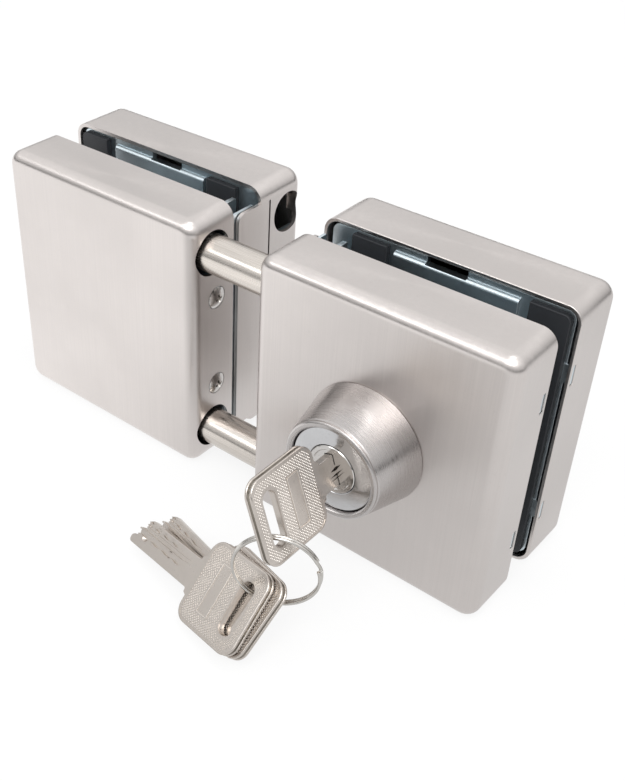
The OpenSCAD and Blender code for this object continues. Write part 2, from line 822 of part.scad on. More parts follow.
// Outline of a bow, moved in by a distance, with its slot's middle at the origin and the blade towards +X
module bow_outline(in) {
    round_rect(in - slot_set, in - bow_w / 2, bow_l - slot_set - in, bow_w / 2 - in, bow_r - in);
}

module ring_slot(thickness) {
    translate([0, 0, -thickness / 2 - over]) linear_extrude(thickness + 2 * over) {
        for (y = [-slot_end, slot_end]) translate([0, y]) circle(d = slot_w);
        translate([-slot_w / 2, -slot_end]) square([slot_w, 2 * slot_end]);
    }
}

// Flat key with a stepped bow, two grooves in each side of the blade and drilled dimples
module flat_key() {
    bow_end = bow_l - slot_set;
    neck_end = bow_end + neck_l;
    tip = blade_tip - bow_end + bow_lap;
    color(key_color) difference() {
        union() {
            translate([0, 0, -key_t / 2]) linear_extrude(key_t) bow_outline(0);
            translate([bow_end - bow_lap, -blade_w / 2, -key_t / 2]) linear_extrude(key_t)
                polygon([[0, 0], [tip - tip_cut, 0], [tip, tip_cut], [tip, blade_w - tip_cut],
                    [tip - tip_cut, blade_w], [0, blade_w]]);
        }
        ring_slot(key_t);
        for (side = [-1, 1]) {
            translate([0, 0, side * (key_t / 2 - rim_step / 2)]) difference() {
                translate([0, 0, -rim_step]) linear_extrude(2 * rim_step) bow_outline(rim_band);
                translate([0, 0, -2 * rim_step]) linear_extrude(4 * rim_step)
                    round_rect(-slot_w / 2 - rim_band, -slot_l / 2 - rim_band, slot_w / 2 + rim_band,
                        slot_l / 2 + rim_band, slot_w / 2 + rim_band - 0.01);
                translate([0, 0, -side * 1.5 * rim_step])
                    cube([2 * bow_l, 2 * bow_w, rim_step], center = true);
            }
            for (y = [-blade_w / 4, blade_w / 4])
                translate([neck_end, y - groove_w / 2, side * key_t / 2 - groove_depth])
                    cube([key_len, groove_w, 2 * groove_depth]);
            for (i = [0 : pins - 1])
                translate([neck_end + first_dimple + i * pin_pitch, 0, side * (key_t / 2 - groove_depth)])
                    rotate([90 - side * 90, 0, 0]) cylinder(d1 = 1, d2 = 2.2, h = groove_depth + 0.01);
        }
    }
}

module key() {
    on_axis() rotate([0, 0, key_turn]) translate([0, 0, bow_slot_at]) rotate([0, 90, 0]) flat_key();
}

module key_ring() {
    color(chrome_color) translate(ring_mid) rotate([0, 0, ring_yaw]) rotate([90, 0, 0]) rotate_extrude()
        for (y = [-ring_axial, ring_axial]) translate([ring_r, y]) circle(d = wire_d, $fn = 24);
}

// Puts a key's frame at the ring, with the end of its slot around the wire
module hung_on_ring(point, blade, width, slip) {
    up = cross(blade, width);
    mid = point + slip[0] * blade + (slot_end + slip[1]) * width + slip[2] * up;
    multmatrix([
        [blade[0], width[0], up[0], mid[0]],
        [blade[1], width[1], up[1], mid[1]],
        [blade[2], width[2], up[2], mid[2]],
        [0, 0, 0, 1]]) children();
}

module spare_key_upper() {
    hung_on_ring(upper_hang, upper_blade, upper_width, upper_slip) flat_key();
}

module spare_key_lower() {
    hung_on_ring(lower_hang, lower_blade, lower_width, lower_slip) flat_key();
}

lock_front_cover();
lock_rear_cover();
lock_frame();
lock_clamp_plate();
lock_front_pads();
lock_rear_pads();
lock_clamp_screws();
lock_collar();
cylinder_body();
cylinder_nut();
driver_pins();
pin_springs();
plug();
key_pins();
plug_retainer();
pinion();
bolt_carriage();
bolt_rack();
upper_bolt();
lower_bolt();
bolt_screws();
strike_front_cover();
strike_rear_cover();
strike_frame();
strike_clamp_plate();
strike_front_pads();
strike_rear_pads();
strike_clamp_screws();
strike_front_keeper();
strike_rear_keeper();
strike_front_screws();
strike_rear_screws();
key();
key_ring();
spare_key_upper();
spare_key_lower();
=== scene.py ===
"""Looks of a double-bolt lock for frameless glass doors: lock clamp, strike clamp and linked keys."""

import json
import logging
import math
from collections.abc import Callable, Iterable
from dataclasses import dataclass
from enum import Enum

import bmesh
import bpy
from mathutils import Matrix, Vector

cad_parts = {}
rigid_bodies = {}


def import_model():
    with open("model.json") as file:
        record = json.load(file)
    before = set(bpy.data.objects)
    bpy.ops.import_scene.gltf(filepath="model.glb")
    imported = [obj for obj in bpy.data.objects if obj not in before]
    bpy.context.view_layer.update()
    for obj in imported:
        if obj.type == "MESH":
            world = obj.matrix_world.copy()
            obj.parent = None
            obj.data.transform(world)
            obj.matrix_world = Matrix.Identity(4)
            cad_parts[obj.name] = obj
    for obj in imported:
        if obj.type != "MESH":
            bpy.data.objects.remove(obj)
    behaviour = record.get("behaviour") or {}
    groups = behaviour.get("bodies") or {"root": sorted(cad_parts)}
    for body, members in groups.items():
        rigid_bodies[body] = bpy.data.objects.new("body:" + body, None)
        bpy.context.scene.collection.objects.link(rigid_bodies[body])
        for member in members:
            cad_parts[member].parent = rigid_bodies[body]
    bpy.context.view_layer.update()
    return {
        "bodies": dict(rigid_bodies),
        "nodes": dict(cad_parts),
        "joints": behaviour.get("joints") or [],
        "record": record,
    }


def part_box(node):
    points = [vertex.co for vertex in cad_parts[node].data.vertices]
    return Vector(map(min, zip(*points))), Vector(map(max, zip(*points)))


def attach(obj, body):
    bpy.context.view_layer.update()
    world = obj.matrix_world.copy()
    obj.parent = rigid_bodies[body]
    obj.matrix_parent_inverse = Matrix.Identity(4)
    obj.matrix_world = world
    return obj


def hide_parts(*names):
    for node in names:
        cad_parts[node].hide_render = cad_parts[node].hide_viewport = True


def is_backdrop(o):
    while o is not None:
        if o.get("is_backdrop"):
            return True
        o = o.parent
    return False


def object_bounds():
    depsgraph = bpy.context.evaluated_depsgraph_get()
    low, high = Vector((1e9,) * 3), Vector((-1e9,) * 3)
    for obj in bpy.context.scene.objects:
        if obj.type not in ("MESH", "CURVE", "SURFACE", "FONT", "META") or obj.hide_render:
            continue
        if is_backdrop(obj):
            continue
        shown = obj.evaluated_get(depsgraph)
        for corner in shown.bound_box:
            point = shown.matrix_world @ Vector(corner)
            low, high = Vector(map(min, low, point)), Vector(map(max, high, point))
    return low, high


LOG = logging.getLogger("glass_door_lock")
MM = 0.001
MERGE = 1e-5


def mm(*values: float) -> Vector:
    """Returns a vector in metres from sizes in millimetres."""
    return Vector(values) * MM


class Half(Enum):
    """The four halves of the two clamps, by side and facing."""

    LOCK_FRONT = ("lock", "front")
    LOCK_REAR = ("lock", "rear")
    STRIKE_FRONT = ("strike", "front")
    STRIKE_REAR = ("strike", "rear")

    @property
    def body(self) -> str:
        """Returns the body that the half rides on."""
        return "_".join(self.value)

    @property
    def is_lock(self) -> bool:
        """Returns whether the half belongs to the lock clamp."""
        return self.value[0] == "lock"

    @property
    def is_front(self) -> bool:
        """Returns whether the half faces the keyed side."""
        return self.value[1] == "front"

    @property
    def has_tab(self) -> bool:
        """Returns whether the half's cover carries an edge tab."""
        return self in (Half.LOCK_FRONT, Half.STRIKE_REAR)

    def place(self) -> Matrix:
        """Works out where the half is.

        Returns:
            The matrix from width, height and outwards in millimetres to metres in the frame.
        """
        low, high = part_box(self.body + "_cover")
        start = low.x if self.is_lock else high.x
        along = MM if self.is_lock else -MM
        out = -MM if self.is_front else MM
        turn = Matrix(((along, 0, 0, 0), (0, 0, out, 0), (0, MM, 0, 0), (0, 0, 0, 1)))
        return Matrix.Translation((start, 0.0, low.z)) @ turn


# Mesh tools


def box(bm: bmesh.types.BMesh, low: tuple, high: tuple) -> list[bmesh.types.BMVert]:
    """Adds a box between two corners.

    Args:
        bm: The mesh that gets it.
        low: Lowest corner.
        high: Highest corner.

    Returns:
        The box's corners.
    """
    verts = bmesh.ops.create_cube(bm, size=1.0)["verts"]
    bmesh.ops.scale(bm, verts=verts, vec=[b - a for a, b in zip(low, high)])
    bmesh.ops.translate(bm, verts=verts, vec=[(a + b) / 2 for a, b in zip(low, high)])
    return verts


def edges_along(verts: Iterable[bmesh.types.BMVert], axis: int) -> list[bmesh.types.BMEdge]:
    """Finds the edges between some corners that run along one axis.

    Args:
        verts: The corners.
        axis: 0, 1 or 2 for the axis.

    Returns:
        The edges.
    """
    straight = 0.999
    chosen = set(verts)
    found = []
    for edge in {e for v in chosen for e in v.link_edges}:
        way = edge.verts[1].co - edge.verts[0].co
        if set(edge.verts) <= chosen and abs(way[axis]) > straight * way.length:
            found.append(edge)
    return found


def round_edges(bm: bmesh.types.BMesh, edges: list, radius: float, segments: int) -> None:
    """Rounds edges with an even radius.

    Args:
        bm: The mesh.
        edges: Its edges to round.
        radius: Radius of the rounding.
        segments: Steps in the rounding.
    """
    bmesh.ops.bevel(bm, geom=edges, offset=radius, offset_type="OFFSET", segments=segments, profile=0.5,
                    affect="EDGES", clamp_overlap=False, material=-1)


def rounded_box(bm: bmesh.types.BMesh, low: tuple, high: tuple, axis: int, radius: float,
                segments: int = 6) -> None:
    """Adds a box whose four edges along one axis are rounded.

    Args:
        bm: The mesh that gets it.
        low: Lowest corner.
        high: Highest corner.
        axis: 0, 1 or 2 for the axis of the rounded edges.
        radius: Radius of these edges.
        segments: Steps in each rounded edge.
    """
    round_edges(bm, edges_along(box(bm, low, high), axis), radius, segments)


def rod(bm: bmesh.types.BMesh, start: Vector, end: Vector, radius: float, steps: int = 40,
        end_radius: float | None = None) -> list[bmesh.types.BMVert]:
    """Adds a straight round rod, or a cone with a second radius.

    Args:
        bm: The mesh that gets it.
        start: Middle of the first end.
        end: Middle of the second end.
        radius: Radius at the first end.
        steps: Corners around it.
        end_radius: Radius at the second end.

    Returns:
        The rod's corners.
    """
    start, end = Vector(start), Vector(end)
    way = end - start
    turn = way.to_track_quat("Z", "Y").to_matrix().to_4x4()
    return bmesh.ops.create_cone(
        bm, cap_ends=True, segments=steps, radius1=radius,
        radius2=radius if end_radius is None else end_radius, depth=way.length,
        matrix=Matrix.Translation((start + end) / 2) @ turn)["verts"]


def lathe(bm: bmesh.types.BMesh, profile: list[tuple[float, float]], steps: int = 96) -> None:
    """Turns a profile of radius and height around Z into a closed body.

    Args:
        bm: The mesh that gets it.
        profile: Points of radius and height, in order, that close on themselves or on the axis.
        steps: Steps around the full turn.
    """
    verts = [bm.verts.new((r, 0.0, z)) for r, z in profile]
    edges = [bm.edges.new(pair) for pair in zip(verts, verts[1:])]
    if profile[0][0] > 0 or profile[-1][0] > 0:
        edges.append(bm.edges.new((verts[-1], verts[0])))
    bmesh.ops.spin(bm, geom=verts + edges, axis=(0, 0, 1), cent=(0, 0, 0), angle=2 * math.pi, steps=steps,
                   use_merge=True)
    bmesh.ops.remove_doubles(bm, verts=bm.verts, dist=MERGE)
    bmesh.ops.recalc_face_normals(bm, faces=bm.faces)


def fillet(points: list[tuple[float, float]], radius: float, steps: int = 4,
           closed: bool = True) -> list[tuple[float, float]]:
    """Rounds the corners of an outline.

    Args:
        points: Corners of the outline.
        radius: Radius of every corner, or less where its sides are short.
        steps: Steps in each corner.
        closed: Whether the outline closes on itself.

    Returns:
        The rounded outline.
    """
    result = []
    count = len(points)
    longest = 0.49
    for i, point in enumerate(points):
        if not closed and i in (0, count - 1):
            result.append(point)
            continue
        b = Vector(point)
        to_a, to_c = Vector(points[i - 1]) - b, Vector(points[(i + 1) % count]) - b
        half = to_a.angle(to_c) / 2
        r = min(radius, longest * min(to_a.length, to_c.length) * math.tan(half))
        middle = b + (to_a.normalized() + to_c.normalized()).normalized() * r / math.sin(half)
        start = b + to_a.normalized() * r / math.tan(half) - middle
        end = b + to_c.normalized() * r / math.tan(half) - middle
        for step in range(steps + 1):
            result.append(tuple(middle + start.slerp(end, step / steps).normalized() * r))
    return result


def prism(bm: bmesh.types.BMesh, outline: list[tuple[float, float]], low: float, high: float) -> list:
    """Adds a flat plate with an outline in X and Y.

    Args:
        bm: The mesh that gets it.
        outline: Corners in X and Y.
        low: Height of its underside.
        high: Height of its top.

    Returns:
        The faces of the top and the underside.
    """
    face = bm.faces.new([bm.verts.new((x, y, low)) for x, y in outline])
    face.normal_update()
    if face.normal.z > 0:
        face.normal_flip()
    grown = bmesh.ops.extrude_face_region(bm, geom=[face], use_keep_orig=True)["geom"]
    raised = [v for v in grown if isinstance(v, bmesh.types.BMVert)]
    bmesh.ops.translate(bm, verts=raised, vec=(0, 0, high - low))
    top = [f for f in grown if isinstance(f, bmesh.types.BMFace)]
    bmesh.ops.recalc_face_normals(bm, faces=bm.faces)
    return top + [face]


def soft_prism(bm: bmesh.types.BMesh, outline: list[tuple[float, float]], low: float, high: float,
               radius: float, steps: int = 3) -> None:
    """Adds a flat plate whose top and bottom rims are rounded.

    Args:
        bm: The mesh that gets it.
        outline: Corners in X and Y.
        low: Height of its underside.
        high: Height of its top.
        radius: Radius of the rims.
        steps: Steps in the rounding.
    """
    rims = {edge for face in prism(bm, outline, low, high) for edge in face.edges}
    round_edges(bm, list(rims), radius, steps)


# Node tools


class Nodes:
    """Short way to place and wire the nodes of one material, group or world.

    Args:
        tree: The node tree to fill. Its old nodes are removed.
    """

    def __init__(self, tree: bpy.types.NodeTree) -> None:
        """Empties the tree and keeps it."""
        tree.nodes.clear()
        self.tree = tree

    def add(self, kind: str, **settings: object) -> bpy.types.Node:
        """Adds a node and sets its properties and inputs.

        Args:
            kind: The node's Blender type name.
            **settings: Property names with values. A name that is no property is an input,
                with underscores for spaces, and a socket as its value is wired to it.

        Returns:
            The new node.
        """
        node = self.tree.nodes.new(kind)
        sockets = {}
        for name, value in settings.items():
            if hasattr(node, name) and not isinstance(value, bpy.types.NodeSocket):
                setattr(node, name, value)
            else:
                sockets[name.replace("_", " ")] = value
        for name, value in sockets.items():
            self.put(node, name, value)
        return node

    def put(self, node: bpy.types.Node, name: str, value: object) -> None:
        """Sets or wires one input of a node.

        Args:
            node: The node that gets the value.
            name: The input's name, or its number as text.
            value: A plain value, or the output socket to wire.
        """
        socket = node.inputs[int(name)] if name.isdigit() else node.inputs[name]
        if isinstance(value, bpy.types.NodeSocket):
            self.tree.links.new(value, socket)
        else:
            socket.default_value = value

    def math(self, kind: str, a: object, b: object = 0.0, c: object = 0.0) -> bpy.types.NodeSocket:
        """Adds a Math node.

        Args:
            kind: The operation.
            a: First number or socket.
            b: Second number or socket.
            c: Third number or socket.

        Returns:
            The node's output socket.
        """
        node = self.add("ShaderNodeMath", operation=kind)
        for i, value in enumerate((a, b, c)):
            self.put(node, str(i), value)
        return node.outputs[0]

    def ramp(self, value: bpy.types.NodeSocket, low: float, high: float,
             to_low: float = 0.0, to_high: float = 1.0) -> bpy.types.NodeSocket:
        """Maps a value smoothly from one range to another, and stops at its ends.

        Args:
            value: The socket to map.
            low: Start of the range read.
            high: End of the range read.
            to_low: Result at the start.
            to_high: Result at the end.

        Returns:
            The mapped socket.
        """
        node = self.add("ShaderNodeMapRange", interpolation_type="SMOOTHSTEP", clamp=True)
        for name, number in (("From Min", low), ("From Max", high), ("To Min", to_low), ("To Max", to_high)):
            node.inputs[name].default_value = number
        self.tree.links.new(value, node.inputs["Value"])
        return node.outputs["Result"]

    def mix(self, mask: bpy.types.NodeSocket, a: object, b: object) -> bpy.types.NodeSocket:
        """Mixes two colours by a mask.

        Args:
            mask: 0 gives the first colour, 1 the second.
            a: First colour or socket.
            b: Second colour or socket.

        Returns:
            The mixed colour's socket.
        """
        node = self.add("ShaderNodeMix", data_type="RGBA")
        self.tree.links.new(mask, node.inputs[0])
        self.put(node, "6", a)
        self.put(node, "7", b)
        return node.outputs[2]


def new_group(name: str, inputs: dict[str, tuple[str, float]], outputs: dict[str, str]) -> tuple[
        bpy.types.NodeTree, Nodes, bpy.types.Node, bpy.types.Node]:
    """Starts a shader node group.

    Args:
        name: Name of the group.
        inputs: Input name to its kind, Float or Vector, and its default number.
        outputs: Output name to its kind.

    Returns:
        The group, its node tools, its input node and its output node.
    """
    group = bpy.data.node_groups.new(name, "ShaderNodeTree")
    for label, (kind, default) in inputs.items():
        socket = group.interface.new_socket(name=label, in_out="INPUT", socket_type="NodeSocket" + kind)
        if kind == "Float":
            socket.default_value = default
    for label, kind in outputs.items():
        group.interface.new_socket(name=label, in_out="OUTPUT", socket_type="NodeSocket" + kind)
    nodes = Nodes(group)
    return group, nodes, nodes.add("NodeGroupInput"), nodes.add("NodeGroupOutput")


class Effects:
    """Node groups that several finishes share, with the ends of the noise that each mask uses."""

    line_ends = (0.3, 0.7)
    patch_ends = (0.35, 0.7)
    speck_ends = (0.62, 0.74)

    def __init__(self) -> None:
        """Makes the three groups."""
        self.grain = self._grain()
        self.wear = self._wear()
        self.rings = self._rings()

    @staticmethod
    def _grain() -> bpy.types.NodeTree:
        """Makes the group of long brush lines.

        Returns:
            A group that takes a vector with the lines along its Z and gives a mask and a height.
        """
        group, n, given, out = new_group(
            "brush_lines",
            {"Vector": ("Vector", 0.0), "Across": ("Float", 2200.0), "Along": ("Float", 45.0)},
            {"Mask": "Float", "Height": "Float"})
        split = n.add("ShaderNodeSeparateXYZ", Vector=given.outputs["Vector"])
        wide = [n.math("MULTIPLY", split.outputs[i], given.outputs["Across"]) for i in (0, 1)]
        tall = n.math("MULTIPLY", split.outputs[2], given.outputs["Along"])
        join = n.add("ShaderNodeCombineXYZ", X=wide[0], Y=wide[1], Z=tall)
        fine = n.add("ShaderNodeTexNoise", Vector=join.outputs[0], Scale=1.0, Detail=3.0, Roughness=0.6)
        coarse, fine_share, broad_share = (0.23, 0.23, 0.35), 0.6, 0.4
        slower = n.add("ShaderNodeVectorMath", operation="MULTIPLY")
        n.put(slower, "0", join.outputs[0])
        n.put(slower, "1", coarse)
        broad = n.add("ShaderNodeTexNoise", Vector=slower.outputs[0], Scale=1.0, Detail=2.0, Roughness=0.5)
        mask = n.math("ADD", n.math("MULTIPLY", fine.outputs["Fac"], fine_share),
                      n.math("MULTIPLY", broad.outputs["Fac"], broad_share))
        n.put(out, "Mask", n.ramp(mask, *Effects.line_ends))
        n.put(out, "Height", fine.outputs["Fac"])
        return group

    @staticmethod
    def _wear() -> bpy.types.NodeTree:
        """Makes the group of handling marks.

        Returns:
            A group that gives a mask of cloudy patches and a mask of small specks.
        """
        group, n, given, out = new_group(
            "handling_marks",
            {"Vector": ("Vector", 0.0), "Patch Scale": ("Float", 40.0), "Speck Scale": ("Float", 900.0)},
            {"Patches": "Float", "Specks": "Float"})
        where = given.outputs["Vector"]
        patch = n.add("ShaderNodeTexNoise", Vector=where, Scale=given.outputs["Patch Scale"], Detail=4.0,
                      Roughness=0.55)
        speck = n.add("ShaderNodeTexNoise", Vector=where, Scale=given.outputs["Speck Scale"], Detail=2.0,
                      Roughness=0.5)
        n.put(out, "Patches", n.ramp(patch.outputs["Fac"], *Effects.patch_ends))
        n.put(out, "Specks", n.ramp(speck.outputs["Fac"], *Effects.speck_ends))
        return group

    @staticmethod
    def _rings() -> bpy.types.NodeTree:
        """Makes the group of lathe lines around the Z axis of its vector.

        Returns:
            A group that gives a mask that changes only with radius and height.
        """
        group, n, given, out = new_group(
            "lathe_lines", {"Vector": ("Vector", 0.0), "Pitch": ("Float", 3500.0)}, {"Mask": "Float"})
        split = n.add("ShaderNodeSeparateXYZ", Vector=given.outputs["Vector"])
        flat = n.add("ShaderNodeCombineXYZ", X=split.outputs[0], Y=split.outputs[1])
        radius = n.add("ShaderNodeVectorMath", operation="LENGTH")
        n.put(radius, "0", flat.outputs[0])
        around = n.math("ARCTAN2", split.outputs[1], split.outputs[0])
        drift = 1.2
        line = n.add("ShaderNodeCombineXYZ",
                     X=n.math("MULTIPLY", radius.outputs["Value"], given.outputs["Pitch"]),
                     Y=n.math("MULTIPLY", split.outputs[2], given.outputs["Pitch"]),
                     Z=n.math("MULTIPLY", n.math("SINE", around), drift))
        noise = n.add("ShaderNodeTexNoise", Vector=line.outputs[0], Scale=1.0, Detail=2.0, Roughness=0.5)
        n.put(out, "Mask", n.ramp(noise.outputs["Fac"], *Effects.line_ends))
        return group


@dataclass(frozen=True)
class Finish:
    """A surface finish in plain terms; each kind of finish adds its own texture.

    Args:
        name: Name of the material.
        colour: Base colour, linear.
        roughness: Mean roughness.
        metallic: 1 for bare metal.
        anisotropic: How strongly the highlight is drawn out.
        patches: Cloudy patches to a metre.
        specks: Specks to a metre.
        speck_tone: How strongly the specks show, and their brightness.
        spread: Lowest and highest roughness, from the mean.
        cloud: Roughness added in the cloudy patches.
        depth: Height of the bumps in metres.
        bump: Strength of the bumps.
    """

    name: str
    colour: tuple[float, float, float]
    roughness: float
    metallic: float = 1.0
    anisotropic: float = 0.0
    patches: float = 90.0
    specks: float = 1200.0
    speck_tone: tuple[float, float] = (0.4, 0.7)
    spread: tuple[float, float] = (-0.03, 0.05)
    cloud: float = 0.0
    depth: float = 0.00001
    bump: float = 0.3

    def start(self, effects: Effects) -> tuple[
            bpy.types.Material, Nodes, bpy.types.Node, bpy.types.NodeSocket, bpy.types.Node]:
        """Makes the material with its shader and its handling marks.

        Args:
            effects: The shared node groups.

        Returns:
            The material, its node tools, the shader node, the object coordinates and the node of the marks.
        """
        material = bpy.data.materials.new(self.name)
        material.use_nodes = True
        n = Nodes(material.node_tree)
        bsdf = n.add("ShaderNodeBsdfPrincipled")
        bsdf.inputs["Base Color"].default_value = (*self.colour, 1.0)
        bsdf.inputs["Roughness"].default_value = self.roughness
        bsdf.inputs["Metallic"].default_value = self.metallic
        bsdf.inputs["Anisotropic"].default_value = self.anisotropic
        out = n.add("ShaderNodeOutputMaterial")
        n.put(out, "Surface", bsdf.outputs[0])
        coords = n.add("ShaderNodeTexCoord").outputs["Object"]
        material.diffuse_color = (*self.colour, 1.0)
        marks = n.add("ShaderNodeGroup", node_tree=effects.wear)
        n.put(marks, "Vector", coords)
        marks.inputs["Patch Scale"].default_value = self.patches
        marks.inputs["Speck Scale"].default_value = self.specks
        return material, n, bsdf, coords, marks

    def shade(self, factor: float) -> tuple[float, float, float, float]:
        """Returns the base colour made lighter or darker."""
        return (*(min(1.0, c * factor) for c in self.colour), 1.0)

    def turned(self, n: Nodes, coords: bpy.types.NodeSocket, turn: tuple[float, float, float],
               middle: tuple[float, float, float] = (0.0, 0.0, 0.0)) -> bpy.types.NodeSocket:
        """Adds coordinates whose Z runs along the finish's own direction.

        Args:
            n: The node tools.
            coords: The object coordinates.
            turn: Rotation that brings the direction to Z, in degrees.
            middle: Their zero point in millimetres.

        Returns:
            The turned coordinates.
        """
        node = n.add("ShaderNodeMapping", vector_type="TEXTURE")
        n.put(node, "Vector", coords)
        node.inputs["Location"].default_value = mm(*middle)
        node.inputs["Rotation"].default_value = [math.radians(v) for v in turn]
        return node.outputs[0]

    def dress(self, n: Nodes, bsdf: bpy.types.Node, marks: bpy.types.Node, tone: bpy.types.NodeSocket,
              mask: bpy.types.NodeSocket, height: bpy.types.NodeSocket) -> None:
        """Wires the colour, the roughness and the bumps.

        Args:
            n: The node tools.
            bsdf: The shader node.
            marks: The node of the handling marks.
            tone: Colour without the specks.
            mask: Where the surface is rougher.
            height: Height of the bumps.
        """
        share, brightness = self.speck_tone
        tone = n.mix(n.math("MULTIPLY", marks.outputs["Specks"], share), tone, self.shade(brightness))
        n.put(bsdf, "Base Color", tone)
        low, high = self.spread
        rough = n.ramp(mask, 0.0, 1.0, self.roughness + low, self.roughness + high)
        if self.cloud:
            rough = n.math("ADD", rough, n.math("MULTIPLY", marks.outputs["Patches"], self.cloud))
        n.put(bsdf, "Roughness", rough)
        bump = n.add("ShaderNodeBump", Strength=self.bump, Distance=self.depth)
        n.put(bump, "Height", height)
        n.put(bsdf, "Normal", bump.outputs[0])


@dataclass(frozen=True)
class BrushedSheet(Finish):
    """Metal with long straight brush or draw lines, and its own values of the shared fields.

    Args:
        turn: Rotation that brings the lines' direction to Z, in degrees.
        across: Brush lines to a metre across the grain.
        along: Changes to a metre along a line.
        contrast: How strongly the lines show in the colour.
        blotches: How much darker the cloudy patches are.
        blotch_share: How strongly the cloudy patches show.
    """

    patches: float = 28.0
    specks: float = 900.0
    speck_tone: tuple[float, float] = (0.15, 0.8)
    spread: tuple[float, float] = (-0.03, 0.04)
    cloud: float = 0.03
    depth: float = 0.000012
    bump: float = 0.2
    turn: tuple[float, float, float] = (0.0, 0.0, 0.0)
    across: float = 2600.0
    along: float = 22.0
    contrast: float = 0.03
    blotches: float = 0.03
    blotch_share: float = 0.6

    def build(self, effects: Effects) -> bpy.types.Material:
        """Makes the material.

        Args:
            effects: The shared node groups.

        Returns:
            The finished material.
        """
        material, n, bsdf, coords, marks = self.start(effects)
        grain = n.add("ShaderNodeGroup", node_tree=effects.grain)
        n.put(grain, "Vector", self.turned(n, coords, self.turn))
        grain.inputs["Across"].default_value = self.across
        grain.inputs["Along"].default_value = self.along
        mask = grain.outputs["Mask"]
        tone = n.mix(mask, self.shade(1.0 - self.contrast), self.shade(1.0 + self.contrast))
        clouds = n.math("MULTIPLY", marks.outputs["Patches"], self.blotch_share)
        tone = n.mix(clouds, tone, self.shade(1.0 - self.blotches))
        self.dress(n, bsdf, marks, tone, mask, grain.outputs["Height"])
        return material


@dataclass(frozen=True)
class PlainMetal(Finish):
    """Cast, plated or turned metal with a fine mottled skin.

    Args:
        contrast: How much the patches darken it.
    """

    contrast: float = 0.12

    def build(self, effects: Effects) -> bpy.types.Material:
        """Makes the material.

        Args:
            effects: The shared node groups.

        Returns:
            The finished material.
        """
        material, n, bsdf, _, marks = self.start(effects)
        mask = marks.outputs["Patches"]
        tone = n.mix(mask, self.shade(1.0), self.shade(1.0 - self.contrast))
        self.dress(n, bsdf, marks, tone, mask, marks.outputs["Specks"])
        return material


@dataclass(frozen=True)
class TurnedMetal(Finish):
    """Metal with fine lathe lines around an axis, and its own values of the shared fields.

    Args:
        middle: A point of the axis, in millimetres.
        turn: Rotation that brings the axis to Z, in degrees.
        pitch: Lines to a metre.
        lines: How strongly the lines show in the colour.
    """

    patches: float = 110.0
    specks: float = 1500.0
    speck_tone: tuple[float, float] = (0.35, 0.75)
    spread: tuple[float, float] = (-0.03, 0.04)
    cloud: float = 0.05
    bump: float = 0.25
    middle: tuple[float, float, float] = (0.0, 0.0, 0.0)
    turn: tuple[float, float, float] = (0.0, 0.0, 0.0)
    pitch: float = 3500.0
    lines: float = 0.08

    def build(self, effects: Effects) -> bpy.types.Material:
        """Makes the material.

        Args:
            effects: The shared node groups.

        Returns:
            The finished material.
        """
        material, n, bsdf, coords, marks = self.start(effects)
        rings = n.add("ShaderNodeGroup", node_tree=effects.rings)
        n.put(rings, "Vector", self.turned(n, coords, self.turn, self.middle))
        rings.inputs["Pitch"].default_value = self.pitch
        mask = rings.outputs["Mask"]
        tone = n.mix(mask, self.shade(1.0 - self.lines), self.shade(1.0 + self.lines))
        self.dress(n, bsdf, marks, tone, mask, mask)
        return material


